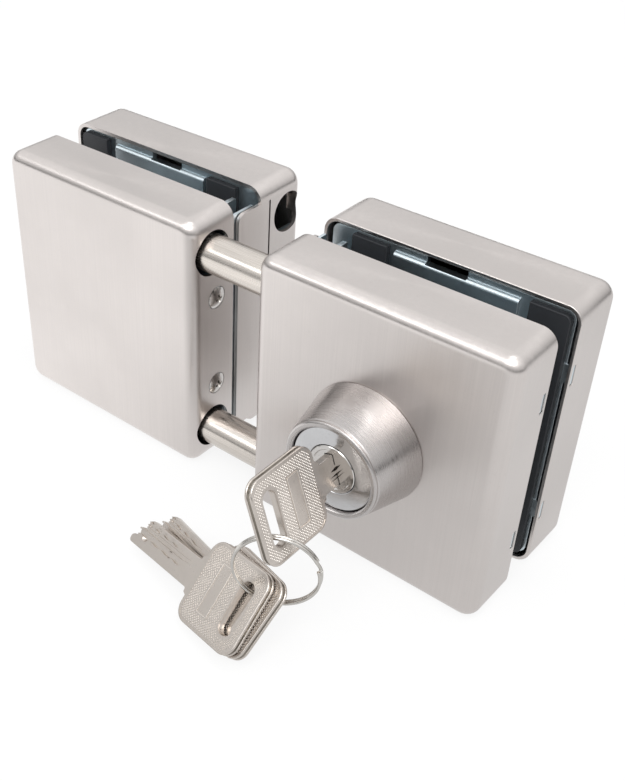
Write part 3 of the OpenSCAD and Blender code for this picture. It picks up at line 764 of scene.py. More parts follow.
class Workshop:
    """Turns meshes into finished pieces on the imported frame."""

    def __init__(self, frame: dict, finishes: dict[str, bpy.types.Material]) -> None:
        """Keeps the frame and the materials, with no node covered yet.

        Args:
            finishes: Material of each slot of the record.
        """
        self.frame = frame
        self.finishes = finishes
        self.covered: set[str] = set()

    def solid(self, bm: bmesh.types.BMesh, place: Matrix, name: str = "work") -> bpy.types.Object:
        """Makes an object from a mesh in millimetres.

        Args:
            bm: The mesh, which is freed.
            place: Matrix to metres in the frame. A mirroring one turns the faces round.
            name: Name of the object.

        Returns:
            The object, at the origin and unturned.
        """
        bmesh.ops.transform(bm, matrix=place, verts=bm.verts)
        if place.determinant() < 0:
            bmesh.ops.reverse_faces(bm, faces=bm.faces)
        mesh = bpy.data.meshes.new(name)
        bm.to_mesh(mesh)
        bm.free()
        obj = bpy.data.objects.new(name, mesh)
        bpy.context.scene.collection.objects.link(obj)
        return obj

    def part(self, place: Matrix, make: Callable, *sizes: object) -> bpy.types.Object:
        """Makes an object with one mesh tool.

        Args:
            place: Matrix from millimetres to metres in the frame.
            make: The mesh tool, such as prism or rod.
            *sizes: What the tool takes after its mesh.

        Returns:
            The object.
        """
        bm = bmesh.new()
        make(bm, *sizes)
        return self.solid(bm, place)

    def copy(self, node: str) -> bpy.types.Object:
        """Makes an object from a CAD node's mesh, merged and with flat faces joined.

        Args:
            node: The CAD node.

        Returns:
            The new object in metres.
        """
        same_place, flat = 1e-7, math.radians(0.5)
        bm = bmesh.new()
        bm.from_mesh(self.frame["nodes"][node].data)
        bmesh.ops.remove_doubles(bm, verts=bm.verts, dist=same_place)
        bmesh.ops.dissolve_limit(bm, angle_limit=flat, verts=bm.verts, edges=bm.edges)
        for layer in list(bm.loops.layers.uv.values()):
            bm.loops.layers.uv.remove(layer)
        return self.solid(bm, Matrix.Identity(4))

    def apply(self, obj: bpy.types.Object) -> None:
        """Puts the result of an object's modifiers into its mesh.

        Args:
            obj: The object.
        """
        view = bpy.context.evaluated_depsgraph_get()
        mesh = bpy.data.meshes.new_from_object(obj.evaluated_get(view), depsgraph=view)
        obj.modifiers.clear()
        old, obj.data = obj.data, mesh
        bpy.data.meshes.remove(old)

    def combine(self, obj: bpy.types.Object, tool: bpy.types.Object, operation: str = "DIFFERENCE") -> None:
        """Cuts or joins an object with a tool, which is used up.

        Args:
            obj: The object that changes.
            tool: The tool object.
            operation: DIFFERENCE or UNION.
        """
        step = obj.modifiers.new("combine", "BOOLEAN")
        step.object = tool
        step.operation = operation
        step.solver = "EXACT"
        self.apply(obj)
        bpy.data.objects.remove(tool)

    def soften(self, obj: bpy.types.Object, width: float, segments: int = 2, angle: float = 35.0) -> None:
        """Rounds an object's sharp edges, or marks them as sharp, and evens its shading.

        Args:
            obj: The object.
            width: Width of the rounding in millimetres. With 0 the edges stay sharp.
            segments: Steps in the rounding.
            angle: Edges that turn by more than this many degrees count as sharp.
        """
        obj.data.shade_smooth()
        if width > 0:
            bevel = obj.modifiers.new("soft_edges", "BEVEL")
            bevel.width = width * MM
            bevel.segments = segments
            bevel.limit_method = "ANGLE"
            bevel.angle_limit = math.radians(angle)
            bevel.harden_normals = True
            bevel.miter_outer = "MITER_ARC"
        else:
            obj.data.set_sharp_from_angle(angle=math.radians(angle))
        even = obj.modifiers.new("even_shading", "WEIGHTED_NORMAL")
        even.keep_sharp = True
        self.apply(obj)

    def present(self, obj: bpy.types.Object, name: str, body: str, slot: str, stands_for: Iterable[str] = (),
                finish: bpy.types.Material | None = None) -> bpy.types.Object:
        """Names a finished piece, gives it its material and puts it on its body.

        Args:
            obj: The piece.
            name: Its name.
            body: The CAD body that it rides on.
            slot: The record's material slot.
            stands_for: The CAD nodes that it replaces.
            finish: A material other than the slot's own.

        Returns:
            The piece.
        """
        obj.name = name
        obj.data.name = name
        obj.data.materials.clear()
        obj.data.materials.append(finish or self.finishes[slot])
        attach(obj, body)
        nodes = tuple(stands_for)
        if nodes:
            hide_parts(*nodes)
            self.covered.update(nodes)
        LOG.info("%s: %d faces on %s", name, len(obj.data.polygons), body)
        return obj

    def soften_node(self, node: str, body: str, slot: str, width: float) -> bpy.types.Object:
        """Replaces a CAD node by a copy with rounded edges.

        Args:
            node: The CAD node.
            body: Its body.
            slot: The record's material slot.
            width: Width of the rounding in millimetres.

        Returns:
            The new piece.
        """
        obj = self.copy(node)
        self.soften(obj, width)
        return self.present(obj, node + "_finished", body, slot, [node])


@dataclass
class CoverSet:
    """The four sheet covers. Sizes are in millimetres.

    Args:
        shop: The workshop.
        rim: Distance of the cover rims from the glass mid-plane.
        sheet: Thickness of the sheet.
        corner: Radius of the corners between walls.
        edge: Radius of the edge between face and walls.
        tab_reach: Distance of the tab's free edge beyond the glass mid-plane.
        tab_round: Radius of the tab's free corners.
        hole_radius: Radius of the bolt holes in the front covers.
        rear_hole_radius: Radius of the bolt holes in the strike's rear cover.
        front_hole_at: Distance of the front bolt holes from the mid-plane.
        rear_hole_at: Distance of the rear bolt holes from the mid-plane.
        hole_end: Distance of the bolt holes from the cover ends.
        screw_pitch: Distance between the two strike screws.
        screw_radius: Radius of the strike screws' holes.
        front_screw_at: Distance of the front screws from the mid-plane.
        rear_screw_at: Distance of the rear screws from the mid-plane.
        slit_at: Start of the slit, from the mid-plane.
        slit_width: Width of the slit.
        clip_pitch: Distance between the two clip slots.
        clip_size: Height and width of a clip slot.
        clip_at: Start of a clip slot, from the mid-plane.
        cylinder_radius: Radius of the hole for the cylinder.
        rim_round: Rounding of the sheet's cut edges.
        slot_round: Radius of the corners of the slits and clip slots.
        reach: How far the tools go past the sheet's inner face.
        round_steps: Steps in the large roundings.
        hole_steps: Corners around a large hole, and around a screw hole.
    """

    shop: Workshop
    rim: float = 6.5
    sheet: float = 1.2
    corner: float = 5.0
    edge: float = 4.0
    tab_reach: float = 4.1
    tab_round: float = 3.0
    hole_radius: float = 7.4
    rear_hole_radius: float = 6.8
    front_hole_at: float = 16.0
    rear_hole_at: float = 20.0
    hole_end: float = 12.5
    screw_pitch: float = 32.4
    screw_radius: float = 3.78
    front_screw_at: float = 14.2
    rear_screw_at: float = 17.6
    slit_at: float = 10.5
    slit_width: float = 0.7
    clip_pitch: float = 48.0
    clip_size: tuple[float, float] = (6.6, 1.8)
    clip_at: float = 7.5
    cylinder_radius: float = 13.35
    rim_round: float = 0.28
    slot_round: float = 0.3
    reach: float = 4.0
    round_steps: int = 10
    hole_steps: tuple[int, int] = (72, 32)

    def sizes(self, half: Half) -> tuple[float, float, float]:
        """Reads a cover's sizes from the frame.

        Args:
            half: Which cover.

        Returns:
            Its width, its height and the distance of its face from the mid-plane.
        """
        low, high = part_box(half.body + "_cover")
        return (high.x - low.x) / MM, (high.z - low.z) / MM, max(abs(low.y), abs(high.y)) / MM

    def shell(self, half: Half) -> bpy.types.Object:
        """Makes the open box of sheet.

        Args:
            half: Which cover.

        Returns:
            The shell, with its thickness.
        """
        width, height, face = self.sizes(half)
        bm = bmesh.new()
        verts = box(bm, (0, 0, self.rim), (width, height, face))
        round_edges(bm, edges_along(verts, 2), self.corner, self.round_steps)
        open_side = [f for f in bm.faces if all(abs(v.co.z - self.rim) < MERGE for v in f.verts)]
        bmesh.ops.delete(bm, geom=open_side, context="FACES_ONLY")
        front = [e for e in bm.edges if all(abs(v.co.z - face) < MERGE for v in e.verts)]
        round_edges(bm, front, self.edge, self.round_steps)
        obj = self.shop.solid(bm, half.place())
        wall = obj.modifiers.new("sheet", "SOLIDIFY")
        wall.thickness = self.sheet * MM
        wall.offset = -1.0
        wall.use_even_offset = True
        self.shop.apply(obj)
        return obj

    def tab(self, half: Half) -> bpy.types.Object:
        """Makes the flat tab that covers the glass edge.

        Args:
            half: Which cover.

        Returns:
            The tab, as a tool object.
        """
        _, height, _ = self.sizes(half)
        bm = bmesh.new()
        verts = box(bm, (0, self.corner, -self.tab_reach), (self.sheet, height - self.corner, self.rim + 1))
        free = [e for e in edges_along(verts, 0) if e.verts[0].co.z < 0]
        steps = 8
        round_edges(bm, free, self.tab_round, steps)
        return self.shop.solid(bm, half.place())

    def openings(self, half: Half) -> list[bpy.types.Object]:
        """Makes the tools for the holes, slots and slit of a cover.

        Args:
            half: Which cover.

        Returns:
            The tool objects.
        """
        width, height, face = self.sizes(half)
        place, part = half.place(), self.shop.part
        deep = self.sheet + self.reach
        tall, wide = self.clip_size
        large, small = self.hole_steps
        tools = []
        for side in (-0.5, 0.5):
            middle = height / 2 + side * self.clip_pitch
            tools.append(part(place, rounded_box, (width - deep, middle - tall / 2, self.clip_at),
                              (width + 1, middle + tall / 2, self.clip_at + wide), 0, self.slot_round, 3))
        if half.has_tab:
            tools.append(part(place, rounded_box, (-1, self.corner, self.slit_at),
                              (deep, height - self.corner, self.slit_at + self.slit_width),
                              0, self.slot_round, 3))
        if half is not Half.LOCK_REAR:
            out = self.front_hole_at if half.is_front else self.rear_hole_at
            radius = self.hole_radius if half.is_front else self.rear_hole_radius
            for middle in (self.hole_end, height - self.hole_end):
                tools.append(part(place, rod, (-1, middle, out), (deep, middle, out), radius, large))
        if not half.is_lock:
            out = self.front_screw_at if half.is_front else self.rear_screw_at
            for side in (-0.5, 0.5):
                middle = height / 2 + side * self.screw_pitch
                tools.append(part(place, rod, (-1, middle, out), (self.sheet + 1, middle, out),
                                  self.screw_radius, small))
        if half is Half.LOCK_FRONT:
            tools.append(part(place, rod, (width / 2, height / 2, face - deep),
                              (width / 2, height / 2, face + 1), self.cylinder_radius, large))
        return tools

    def build(self) -> None:
        """Makes the four covers."""
        for half in Half:
            obj = self.shell(half)
            if half.has_tab:
                self.shop.combine(obj, self.tab(half), "UNION")
            for tool in self.openings(half):
                self.shop.combine(obj, tool)
            self.shop.soften(obj, self.rim_round)
            self.shop.present(obj, half.body + "_sheet", half.body, "brushed_steel", [half.body + "_cover"])


@dataclass
class ClampGear:
    """The cast plates and rubber pads inside the clamps.

    Args:
        shop: The workshop.
        cast_round: Rounding of the cast edges in millimetres.
        rubber_round: Rounding of the rubber edges in millimetres.
    """

    shop: Workshop
    cast_round: float = 0.35
    rubber_round: float = 0.25

    def build(self) -> None:
        """Makes the plates and pads of both clamps."""
        for half in Half:
            side = half.value[0]
            plate = f"{side}_frame" if half.is_front else f"{side}_clamp_plate"
            self.shop.soften_node(plate, half.body, "zinc_casting", self.cast_round)
            self.shop.soften_node(half.body + "_pads", half.body, "rubber", self.rubber_round)


@dataclass
class CylinderSet:
    """The tapered collar, the cylinder and its plug. Sizes are in millimetres.

    Args:
        shop: The workshop.
        collar_wall: Width of the collar's wall at its front rim.
        collar_bead: Height of the small bead along the front rim.
        collar_lip: Distance from the collar's front to where its rim starts, and to its bead's foot.
        collar_swell: How much wider the collar is where its rim starts, and at its bead.
        collar_edge: Bevel of the collar's front edges.
        collar_round: Rounding of the collar's corners.
        gap: Gap between collar and cylinder.
        face_round: Bevel of the cylinder's front edge.
        body_round: Rounding of the cylinder's corners.
        seat_depth: Depth of the seat for the plug's flange.
        play: Play around the plug's flange and around the plug.
        bevel: Bevel of the edges of the seat and the flange.
        plug_radius: Radius of the plug.
        plug_length: Length of the plug's thick part.
        tail: Radius of the plug's tail.
        flange: Radius of the plug's flange.
        flange_depth: Thickness of the plug's flange.
        rim: Width of the flange's raised rim.
        rim_step: Depth of the plug's face inside the rim.
        rim_slope: Width of the slope down to that face.
        keyway: Width and height of the keyway.
        keyway_depth: Depth of the keyway.
        keyway_round: Rounding of the keyway's corners.
        rib: Height and thickness of the ribs at the middle of the keyway's sides.
        plug_round: Rounding of the plug's edges.
        key_turn: Turn of the keyway at rest, in degrees.
        steps: Steps around the turned pieces.
    """

    shop: Workshop
    collar_wall: float = 2.0
    collar_bead: float = 0.55
    collar_lip: tuple[float, float] = (1.5, 1.1)
    collar_swell: tuple[float, float] = (0.25, 0.05)
    collar_edge: float = 0.4
    collar_round: float = 0.35
    gap: float = 0.15
    face_round: float = 0.35
    body_round: float = 0.12
    seat_depth: float = 1.6
    play: tuple[float, float] = (0.12, 0.05)
    bevel: float = 0.2
    plug_radius: float = 6.5
    plug_length: float = 22.0
    tail: float = 3.0
    flange: float = 7.5
    flange_depth: float = 1.55
    rim: float = 1.15
    rim_step: float = 0.45
    rim_slope: float = 0.35
    keyway: tuple[float, float] = (2.9, 9.7)
    keyway_depth: float = 20.0
    keyway_round: float = 0.2
    rib: tuple[float, float] = (1.4, 0.3)
    plug_round: float = 0.08
    key_turn: float = 20.0
    steps: int = 128

    def place(self) -> Matrix:
        """Works out where the cylinder is.

        Returns:
            The matrix from its axis, outwards from the mid-plane, to the frame.
        """
        low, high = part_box("lock_collar")
        middle = Vector(((low.x + high.x) / 2, 0.0, (low.z + high.z) / 2))
        return Matrix.Translation(middle) @ Matrix.Rotation(math.pi / 2, 4, "X") @ Matrix.Scale(MM, 4)

    def span(self, node: str) -> tuple[float, float, float]:
        """Reads a round piece's sizes from the frame.

        Args:
            node: Its CAD node.

        Returns:
            Its back and its face, from the mid-plane, and its radius.
        """
        low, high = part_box(node)
        return -high.y / MM, -low.y / MM, (high.x - low.x) / 2 / MM

    def collar(self) -> None:
        """Makes the tapered collar with its beaded rim."""
        base, top, radius = self.span("lock_collar")
        _, _, inner = self.span("cylinder_body")
        bore = inner + self.gap
        rim = bore - self.gap + self.collar_wall
        lip, foot = self.collar_lip
        swell, bead = self.collar_swell
        edge = self.collar_edge
        outline = [(bore, base), (radius, base), (rim + swell, top - lip), (rim, top - foot),
                   (rim + bead, top - edge), (rim - self.collar_bead, top), (bore + edge, top),
                   (bore, top - edge)]
        obj = self.shop.part(self.place(), lathe, fillet(outline, self.collar_round, 3), self.steps)
        self.shop.soften(obj, 0.0)
        self.shop.present(obj, "collar_turned", "lock_front", "brushed_steel", ["lock_collar"],
                          self.shop.finishes["turned_steel"])

    def body(self) -> None:
        """Makes the cylinder body with a shallow seat for the plug's flange."""
        back, face, radius = self.span("cylinder_body")
        seat, bore = self.flange + self.play[0], self.plug_radius + self.play[1]
        soft, bottom = self.face_round, face - self.seat_depth
        outline = [(bore, back), (radius, back), (radius, face - soft), (radius - soft, face),
                   (seat + self.bevel, face), (seat, face - self.bevel), (seat, bottom), (bore, bottom)]
        obj = self.shop.part(self.place(), lathe, fillet(outline, self.body_round, 2), self.steps)
        self.shop.soften(obj, 0.0)
        self.shop.present(obj, "cylinder_turned", "lock_front", "bright_steel", ["cylinder_body"],
                          self.shop.finishes["cylinder_face"])

    def plug(self) -> None:
        """Makes the plug with its raised flange rim and its ribbed keyway."""
        back, face, _ = self.span("plug")
        under, thick = face - self.flange_depth, face - self.plug_length
        inside = self.flange - self.rim
        outline = [(0.0, back), (self.tail, back), (self.tail, thick), (self.plug_radius, thick),
                   (self.plug_radius, under), (self.flange, under), (self.flange, face - self.bevel),
                   (self.flange - self.bevel, face), (inside, face),
                   (inside - self.rim_slope, face - self.rim_step),
                   (0.0, face - self.rim_step)]
        obj = self.shop.part(self.place(), lathe, outline, self.steps)
        wide, tall = self.keyway
        rib, thickness = self.rib
        overlap = 0.05
        turn = self.place() @ Matrix.Rotation(math.radians(self.key_turn), 4, "Z")
        for low, high, half in ((-tall / 2, -rib, wide / 2), (-rib, rib, wide / 2 - thickness),
                                (rib, tall / 2, wide / 2)):
            self.shop.combine(obj, self.shop.part(
                turn, rounded_box, (-half, low - overlap, face - self.keyway_depth),
                (half, high + overlap, face + 1.0), 2, self.keyway_round, 2))
        self.shop.soften(obj, self.plug_round)
        self.shop.present(obj, "plug_turned", "plug_group", "bright_steel", ["plug"])

    def build(self) -> None:
        """Makes the three pieces."""
        self.collar()
        self.body()
        self.plug()


@dataclass
class BoltDrive:
    """The two locking bolts. Sizes are in millimetres.

    Args:
        shop: The workshop.
        chamfer: Length of the bevel at the tip.
        rounding: Rounding of its edges.
        flat_gap: Gap between the flat's shoulder and the carriage.
        past: How far the tool for the flat goes past the bolt.
        steps: Steps around a bolt.
    """

    shop: Workshop
    chamfer: float = 0.8
    rounding: float = 0.35
    flat_gap: float = 0.2
    past: float = 5.0
    steps: int = 96

    def build(self) -> None:
        """Makes both bolts, with the flat for the carriage at their rear end."""
        flat_low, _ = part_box("bolt_carriage")
        for name in ("upper_bolt", "lower_bolt"):
            low, high = (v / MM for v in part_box(name))
            radius = (high.z - low.z) / 2
            axis = Vector((0.0, low.y + radius, (low.z + high.z) / 2))
            start, end = low.x, high.x
            place = Matrix.Translation(axis * MM) @ Matrix.Rotation(math.pi / 2, 4, "Y") @ Matrix.Scale(MM, 4)
            outline = fillet([(0.0, start), (radius - self.chamfer, start), (radius, start + self.chamfer),
                              (radius, end), (0.0, end)], self.rounding, 3, closed=False)
            obj = self.shop.part(place, lathe, outline, self.steps)
            past = self.past
            cut = self.shop.part(Matrix.Scale(MM, 4), box,
                                 (flat_low.x / MM - self.flat_gap, flat_low.y / MM, low.z - past),
                                 (high.x + past, high.y + past, high.z + past))
            self.shop.combine(obj, cut)
            self.shop.soften(obj, 0.0)
            self.shop.present(obj, name + "_turned", "bolts", "bright_steel", [name],
                              self.shop.finishes["bolt_nickel"])


@dataclass
class StrikeFittings:
    """The oval-head screws in the strike's meeting walls. Sizes are in millimetres.

    Args:
        shop: The workshop.
        head: Radius of a head.
        dome: Height of a head.
        brim: Width of the sharp edge around the dome.
        shank: Radius of the shank.
        length: Length behind the head.
        arm: Half length and half width of the cross recess's arms.
        taper: Share of that length and width that is left at the recess's bottom.
        recess_depth: Depth of the recess.
        turn: Turn of the cross recess, in degrees.
        edge_round: Rounding of the edges.
        steps: Steps around a screw.
    """

    shop: Workshop
    head: float = 3.6
    dome: float = 1.2
    brim: float = 0.05
    shank: float = 2.0
    length: float = 7.2
    arm: tuple[float, float] = (2.2, 0.48)
    taper: tuple[float, float] = (0.35, 0.6)
    recess_depth: float = 1.5
    turn: float = 12.0
    edge_round: float = 0.06
    steps: int = 48

    def profile(self) -> list[tuple[float, float]]:
        """Works out the outline of a head and its shank.

        Returns:
            Points of radius and height.
        """
        ball = (self.head**2 + self.dome**2) / (2 * self.dome)
        steps = 10
        dome = []
        for i in range(steps + 1):
            r = (self.head - self.brim) * i / steps
            dome.append((r, math.sqrt(ball * ball - r * r) - ball + self.dome))
        return dome + [(self.head, 0.0), (self.shank, 0.0), (self.shank, -self.length), (0.0, -self.length)]

    def recess(self, place: Matrix, quarter: float) -> bpy.types.Object:
        """Makes one arm of a cross recess, tapered towards its bottom.

        Args:
            place: Matrix from the screw's own space to the frame.
            quarter: Turn of the arm, in degrees.

        Returns:
            The arm, as a tool object.
        """
        bm = bmesh.new()
        length, width = self.arm
        verts = box(bm, (-length, -width, self.dome - self.recess_depth), (length, width, self.dome + 1.0))
        for vert in verts:
            if vert.co.z < self.dome:
                vert.co.x *= self.taper[0]
                vert.co.y *= self.taper[1]
        turn = Matrix.Rotation(math.radians(self.turn + quarter), 4, "Z")
        return self.shop.solid(bm, place @ turn)

    def build(self) -> None:
        """Makes the two pairs of screws."""
        for half in (Half.STRIKE_FRONT, Half.STRIKE_REAR):
            node = half.body + "_screws"
            low, high = (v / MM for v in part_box(node))
            middle = (low.y + high.y) / 2
            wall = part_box(half.body + "_cover")[1].x / MM
            for label, height in (("lower", low.z + self.head), ("upper", high.z - self.head)):
                place = (Matrix.Translation(mm(wall, middle, height)) @ Matrix.Rotation(math.pi / 2, 4, "Y")
                         @ Matrix.Scale(MM, 4))
                obj = self.shop.part(place, lathe, self.profile(), self.steps)
                for quarter in (0.0, 90.0):
                    self.shop.combine(obj, self.recess(place, quarter))
                self.shop.soften(obj, self.edge_round)
                self.shop.present(obj, f"{node}_{label}", half.body, "bright_steel",
                                  [node] if label == "upper" else [], self.shop.finishes["screw_steel"])


@dataclass
class KeyBunch:
    """The key in the plug, the two spare keys and their split ring. Sizes are in millimetres.

    Args:
        shop: The workshop.
        bow: Length and width of a bow.
        corner: Radius of the bow's corners.
        round_steps: Steps in each corner of the bow and each round end of its slot.
        thickness: Thickness of a key.
        edge_round: Rounding of the key's edges.
        band: Width and depth of the knurled band along the bow's edge.
        knurl: Distance between the ridges of the band, and their height.
        rim_band: Width of the smooth band along the bow's edge and around its slot.
        rim_step: Depth of the field inside the band.
        slot: Length and width of the ring slot.
        slot_set: Distance of the slot's middle from the bow's outer end.
        slot_bevel: Steps of the slot's rounded rim, each with its growth and its depth.
        blade: Width of the blade.
        blade_root: Length over which the bow's field and band are cut away for the blade.
        neck: Length of the plain blade between bow and plug.
        blade_length: Length of the blade.
        blade_inset: Depth of the blade's faces below the bow's.
        blade_round: Rounding of the blade's edges.
        shoulder: Place, height at the bow and height at the blade of the blade's shoulder.
        tip_steps: Points of the blade's end, along the key from the full length and across.
        panel: Height along the slot and width of the raised frame.
        panel_at: Place of the panel's middle along the key.
        panel_margin: Width of the bare strip around the panel.
        bar: Width, height and rounding of the frame's bars.
        dot_pitch: Distance between the raised dots of a row.
        dot: Radius and height of a dot.
        dot_tip: Share of a dot's radius that is left at its tip.
        dot_sides: Sides of a dot.
        sink: How deep the dots and the bars start below the field.
        tracks: Start, lower side, upper side, depth and wave of each milled track in the blade.
        wave_turn: Turn of the wave at each step, on a track's lower and on its upper side, in radians.
        dimples: Place along and across, radius and depth of each dimple in the blade.
        dimple_cone: A dimple's radius at its bottom and above its mouth, as shares of its radius.
        dimple_sides: Sides of a dimple.
        key_turn: Turn of the key in the plug, in degrees.
        ring: Diameter of the ring and of its wire.
        ring_yaw: Direction of the ring's plane, in degrees.
        ring_rest: How far the ring leans and drops from the middle of the slot's round end.
        ring_cut: Place of the near cut end around the ring, in degrees.
        ring_turn: Length of each flat turn of the ring, in degrees.
        ring_steps: Steps around a flat turn and in the crossing.
        wire_sides: Sides of the wire.
        ring_lift: Half the distance between the turns, to the wire.
        ring_pinch: How far the cut end is pressed inwards, and over what angle in radians.
        spare_at: Places of the spare keys around the ring, in degrees.
        spare_blades: Directions of the spare keys' blades.
        spare_widths: Directions across the spare keys.
        spare_slips: Small shifts of the spare keys along blade, width and face.
    """

    shop: Workshop
    bow: tuple[float, float] = (25.2, 25.8)
    corner: float = 4.5
    round_steps: int = 10
    thickness: float = 2.6
    edge_round: float = 0.36
    band: tuple[float, float] = (0.9, 0.3)
    knurl: tuple[float, float] = (0.42, 0.07)
    rim_band: float = 0.75
    rim_step: float = 0.1
    slot: tuple[float, float] = (16.6, 4.8)
    slot_set: float = 6.2
    slot_bevel: tuple[tuple[float, float], ...] = ((0.34, 0.14), (0.16, 0.26), (0.05, 0.42))
    blade: float = 9.4
    blade_root: float = 1.5
    neck: float = 7.0
    blade_length: float = 31.0
    blade_inset: float = 0.03
    blade_round: float = 0.25
    shoulder: tuple[float, float, float] = (1.2, 2.2, 1.2)
    panel: tuple[float, float] = (15.4, 4.3)
    panel_at: float = 9.9
    panel_margin: float = 0.7
    bar: tuple[float, float, float] = (0.34, 0.2, 0.08)
    dot_pitch: float = 1.0
    dot: tuple[float, float] = (0.3, 0.17)
    dot_tip: float = 0.35
    dot_sides: int = 6
    sink: tuple[float, float] = (0.05, 0.1)
    tracks: tuple[tuple[float, float, float, float, float], ...] = (
        (5.0, -0.5, 1.1, 0.95, 0.18), (4.5, -1.75, -0.85, 0.8, 0.0), (4.0, -2.6, -2.1, 0.5, 0.0),
        (8.5, -3.8, -2.9, 0.8, 0.2))
    wave_turn: tuple[float, float] = (1.1, 0.8)
    dimples: tuple[tuple[float, float, float, float], ...] = (
        (13.0, 0.3, 1.1, 0.9), (25.0, 0.9, 1.3, 0.9), (21.5, -3.1, 0.9, 0.8), (25.5, -3.3, 0.9, 0.8))
    dimple_cone: tuple[float, float] = (0.4, 1.1)
    dimple_sides: int = 20
    tip_steps: tuple[tuple[float, float], ...] = (
        (0.0, 4.7), (0.0, 2.2), (-2.2, 1.6), (-1.6, -0.8), (-4.2, -1.6), (-3.6, -3.6), (-5.6, -4.7))
    key_turn: float = 20.0
    ring: tuple[float, float] = (25.0, 1.0)
    ring_yaw: float = 28.0
    ring_rest: tuple[float, float] = (0.4, 0.25)
    ring_cut: float = 12.0
    ring_turn: float = 345.0
    ring_steps: tuple[int, int] = (86, 10)
    wire_sides: int = 16
    ring_lift: float = 0.45
    ring_pinch: tuple[float, float] = (0.05, 0.8)
    spare_at: tuple[float, float] = (234.0, 252.0)
    spare_blades: tuple[tuple[float, float, float], ...] = ((-0.97, 0.205, -0.128), (-0.953, 0.29, -0.085))
    spare_widths: tuple[tuple[float, float, float], ...] = ((-0.055, -0.704, -0.708), (-0.159, -0.677, -0.719))
    spare_slips: tuple[tuple[float, float, float], ...] = ((0.0, 0.0, 0.0), (-0.25, -0.25, -0.02))

    @property
    def bow_end(self) -> float:
        """Returns the place where the bow ends and the blade starts."""
        return self.bow[0] - self.slot_set

    @property
    def slot_end(self) -> float:
        """Returns the distance from the slot's middle to the middle of its round ends."""
        return (self.slot[0] - self.slot[1]) / 2

    def outline(self, inset: float) -> list[tuple[float, float]]:
        """Works out the outline of a bow.

        Args:
            inset: Distance that it is moved in.

        Returns:
            Its points along and across the key.
        """
        x0, x1, y1 = inset - self.slot_set, self.bow_end - inset, self.bow[1] / 2 - inset
        return fillet([(x0, -y1), (x1, -y1), (x1, y1), (x0, y1)], self.corner - inset, self.round_steps)

    def knurled(self) -> list[tuple[float, float]]:
        """Works out the outline of the knurled band, with a ridge at every second point.

        Returns:
            Its points along and across the key.
        """
        pitch, ridge = self.knurl
        base = [Vector(p) for p in self.outline(self.band[1])]
        points = []
        for a, b in zip(base, base[1:] + base[:1]):
            count = max(1, round((b - a).length / pitch * 2))
            points += [a.lerp(b, i / count) for i in range(count)]
        middle = Vector((self.bow_end - self.bow[0] / 2, 0.0))
        return [tuple(p + (p - middle).normalized() * (ridge if i % 2 else 0.0)) for i, p in enumerate(points)]

    def slot_outline(self, grow: float) -> list[tuple[float, float]]:
        """Works out the outline of the ring slot.

        Args:
            grow: Distance that it is moved out.

        Returns:
            Its points along and across the key.
        """
        half = self.slot[1] / 2 + grow
        steps = self.round_steps
        points = []
        for sign, begin in ((1, 0), (-1, math.pi)):
            for i in range(steps + 1):
                angle = math.pi * i / steps + begin
                points.append((half * math.cos(angle), sign * self.slot_end + half * math.sin(angle)))
        return points

    def in_field(self, x: float, y: float) -> bool:
        """Tells whether a dot at a place on the bow stands on its field.

        Args:
            x: Place along the key.
            y: Place across the key.

        Returns:
            True on the field, False on a band, the slot or the panel.
        """
        margin = self.rim_band + self.dot[0]
        x0, x1, y1 = margin - self.slot_set, self.bow_end - margin, self.bow[1] / 2 - margin
        c = self.corner - margin
        past = Vector((max(0.0, x0 + c - x, x - x1 + c), max(0.0, abs(y) - y1 + c)))
        if not (x0 < x < x1 and abs(y) < y1) or past.length > c:
            return False
        along = max(0.0, abs(y) - self.slot_end)
        if math.hypot(x, along) < self.slot[1] / 2 + margin:
            return False
        tall, wide = (size / 2 + self.panel_margin for size in self.panel)
        return not (abs(x - self.panel_at) < wide and abs(y) < tall)

    def dots(self, bm: bmesh.types.BMesh) -> None:
        """Adds the staggered raised dots on both sides of a bow.

        Args:
            bm: The mesh that gets them.
        """
        radius, height = self.dot
        floor = self.thickness / 2 - self.rim_step
        columns = int(self.bow[0] / self.dot_pitch) + 1
        rows = int(self.bow[1] / (self.dot_pitch * 0.5)) + 1
        for row in range(-rows, rows + 1):
            for column in range(-columns, columns + 1):
                x = (column + 0.5 * (row % 2)) * self.dot_pitch
                y = row * self.dot_pitch * 0.5
                if not self.in_field(x, y):
                    continue
                for side in (-1, 1):
                    rod(bm, (x, y, side * (floor - self.sink[0])), (x, y, side * (floor + height)), radius,
                        self.dot_sides, radius * self.dot_tip)

    def frame_bars(self, bm: bmesh.types.BMesh) -> None:
        """Adds the raised frame of the bare panel on both sides of a bow.

        Args:
            bm: The mesh that gets it.
        """
        tall, wide = self.panel
        floor = self.thickness / 2 - self.rim_step
        bar, rise, soft = self.bar
        for side in (-1, 1):
            low, high = sorted((side * (floor - self.sink[1]), side * (floor + rise)))
            for x in (-wide / 2, wide / 2):
                middle = self.panel_at + x
                rounded_box(bm, (middle - bar / 2, -tall / 2, low),
                            (middle + bar / 2, tall / 2, high), 1, soft, 2)
            for y in (-tall / 2, tall / 2):
                rounded_box(bm, (self.panel_at - wide / 2, y - bar / 2, low),
                            (self.panel_at + wide / 2, y + bar / 2, high), 0, soft, 2)

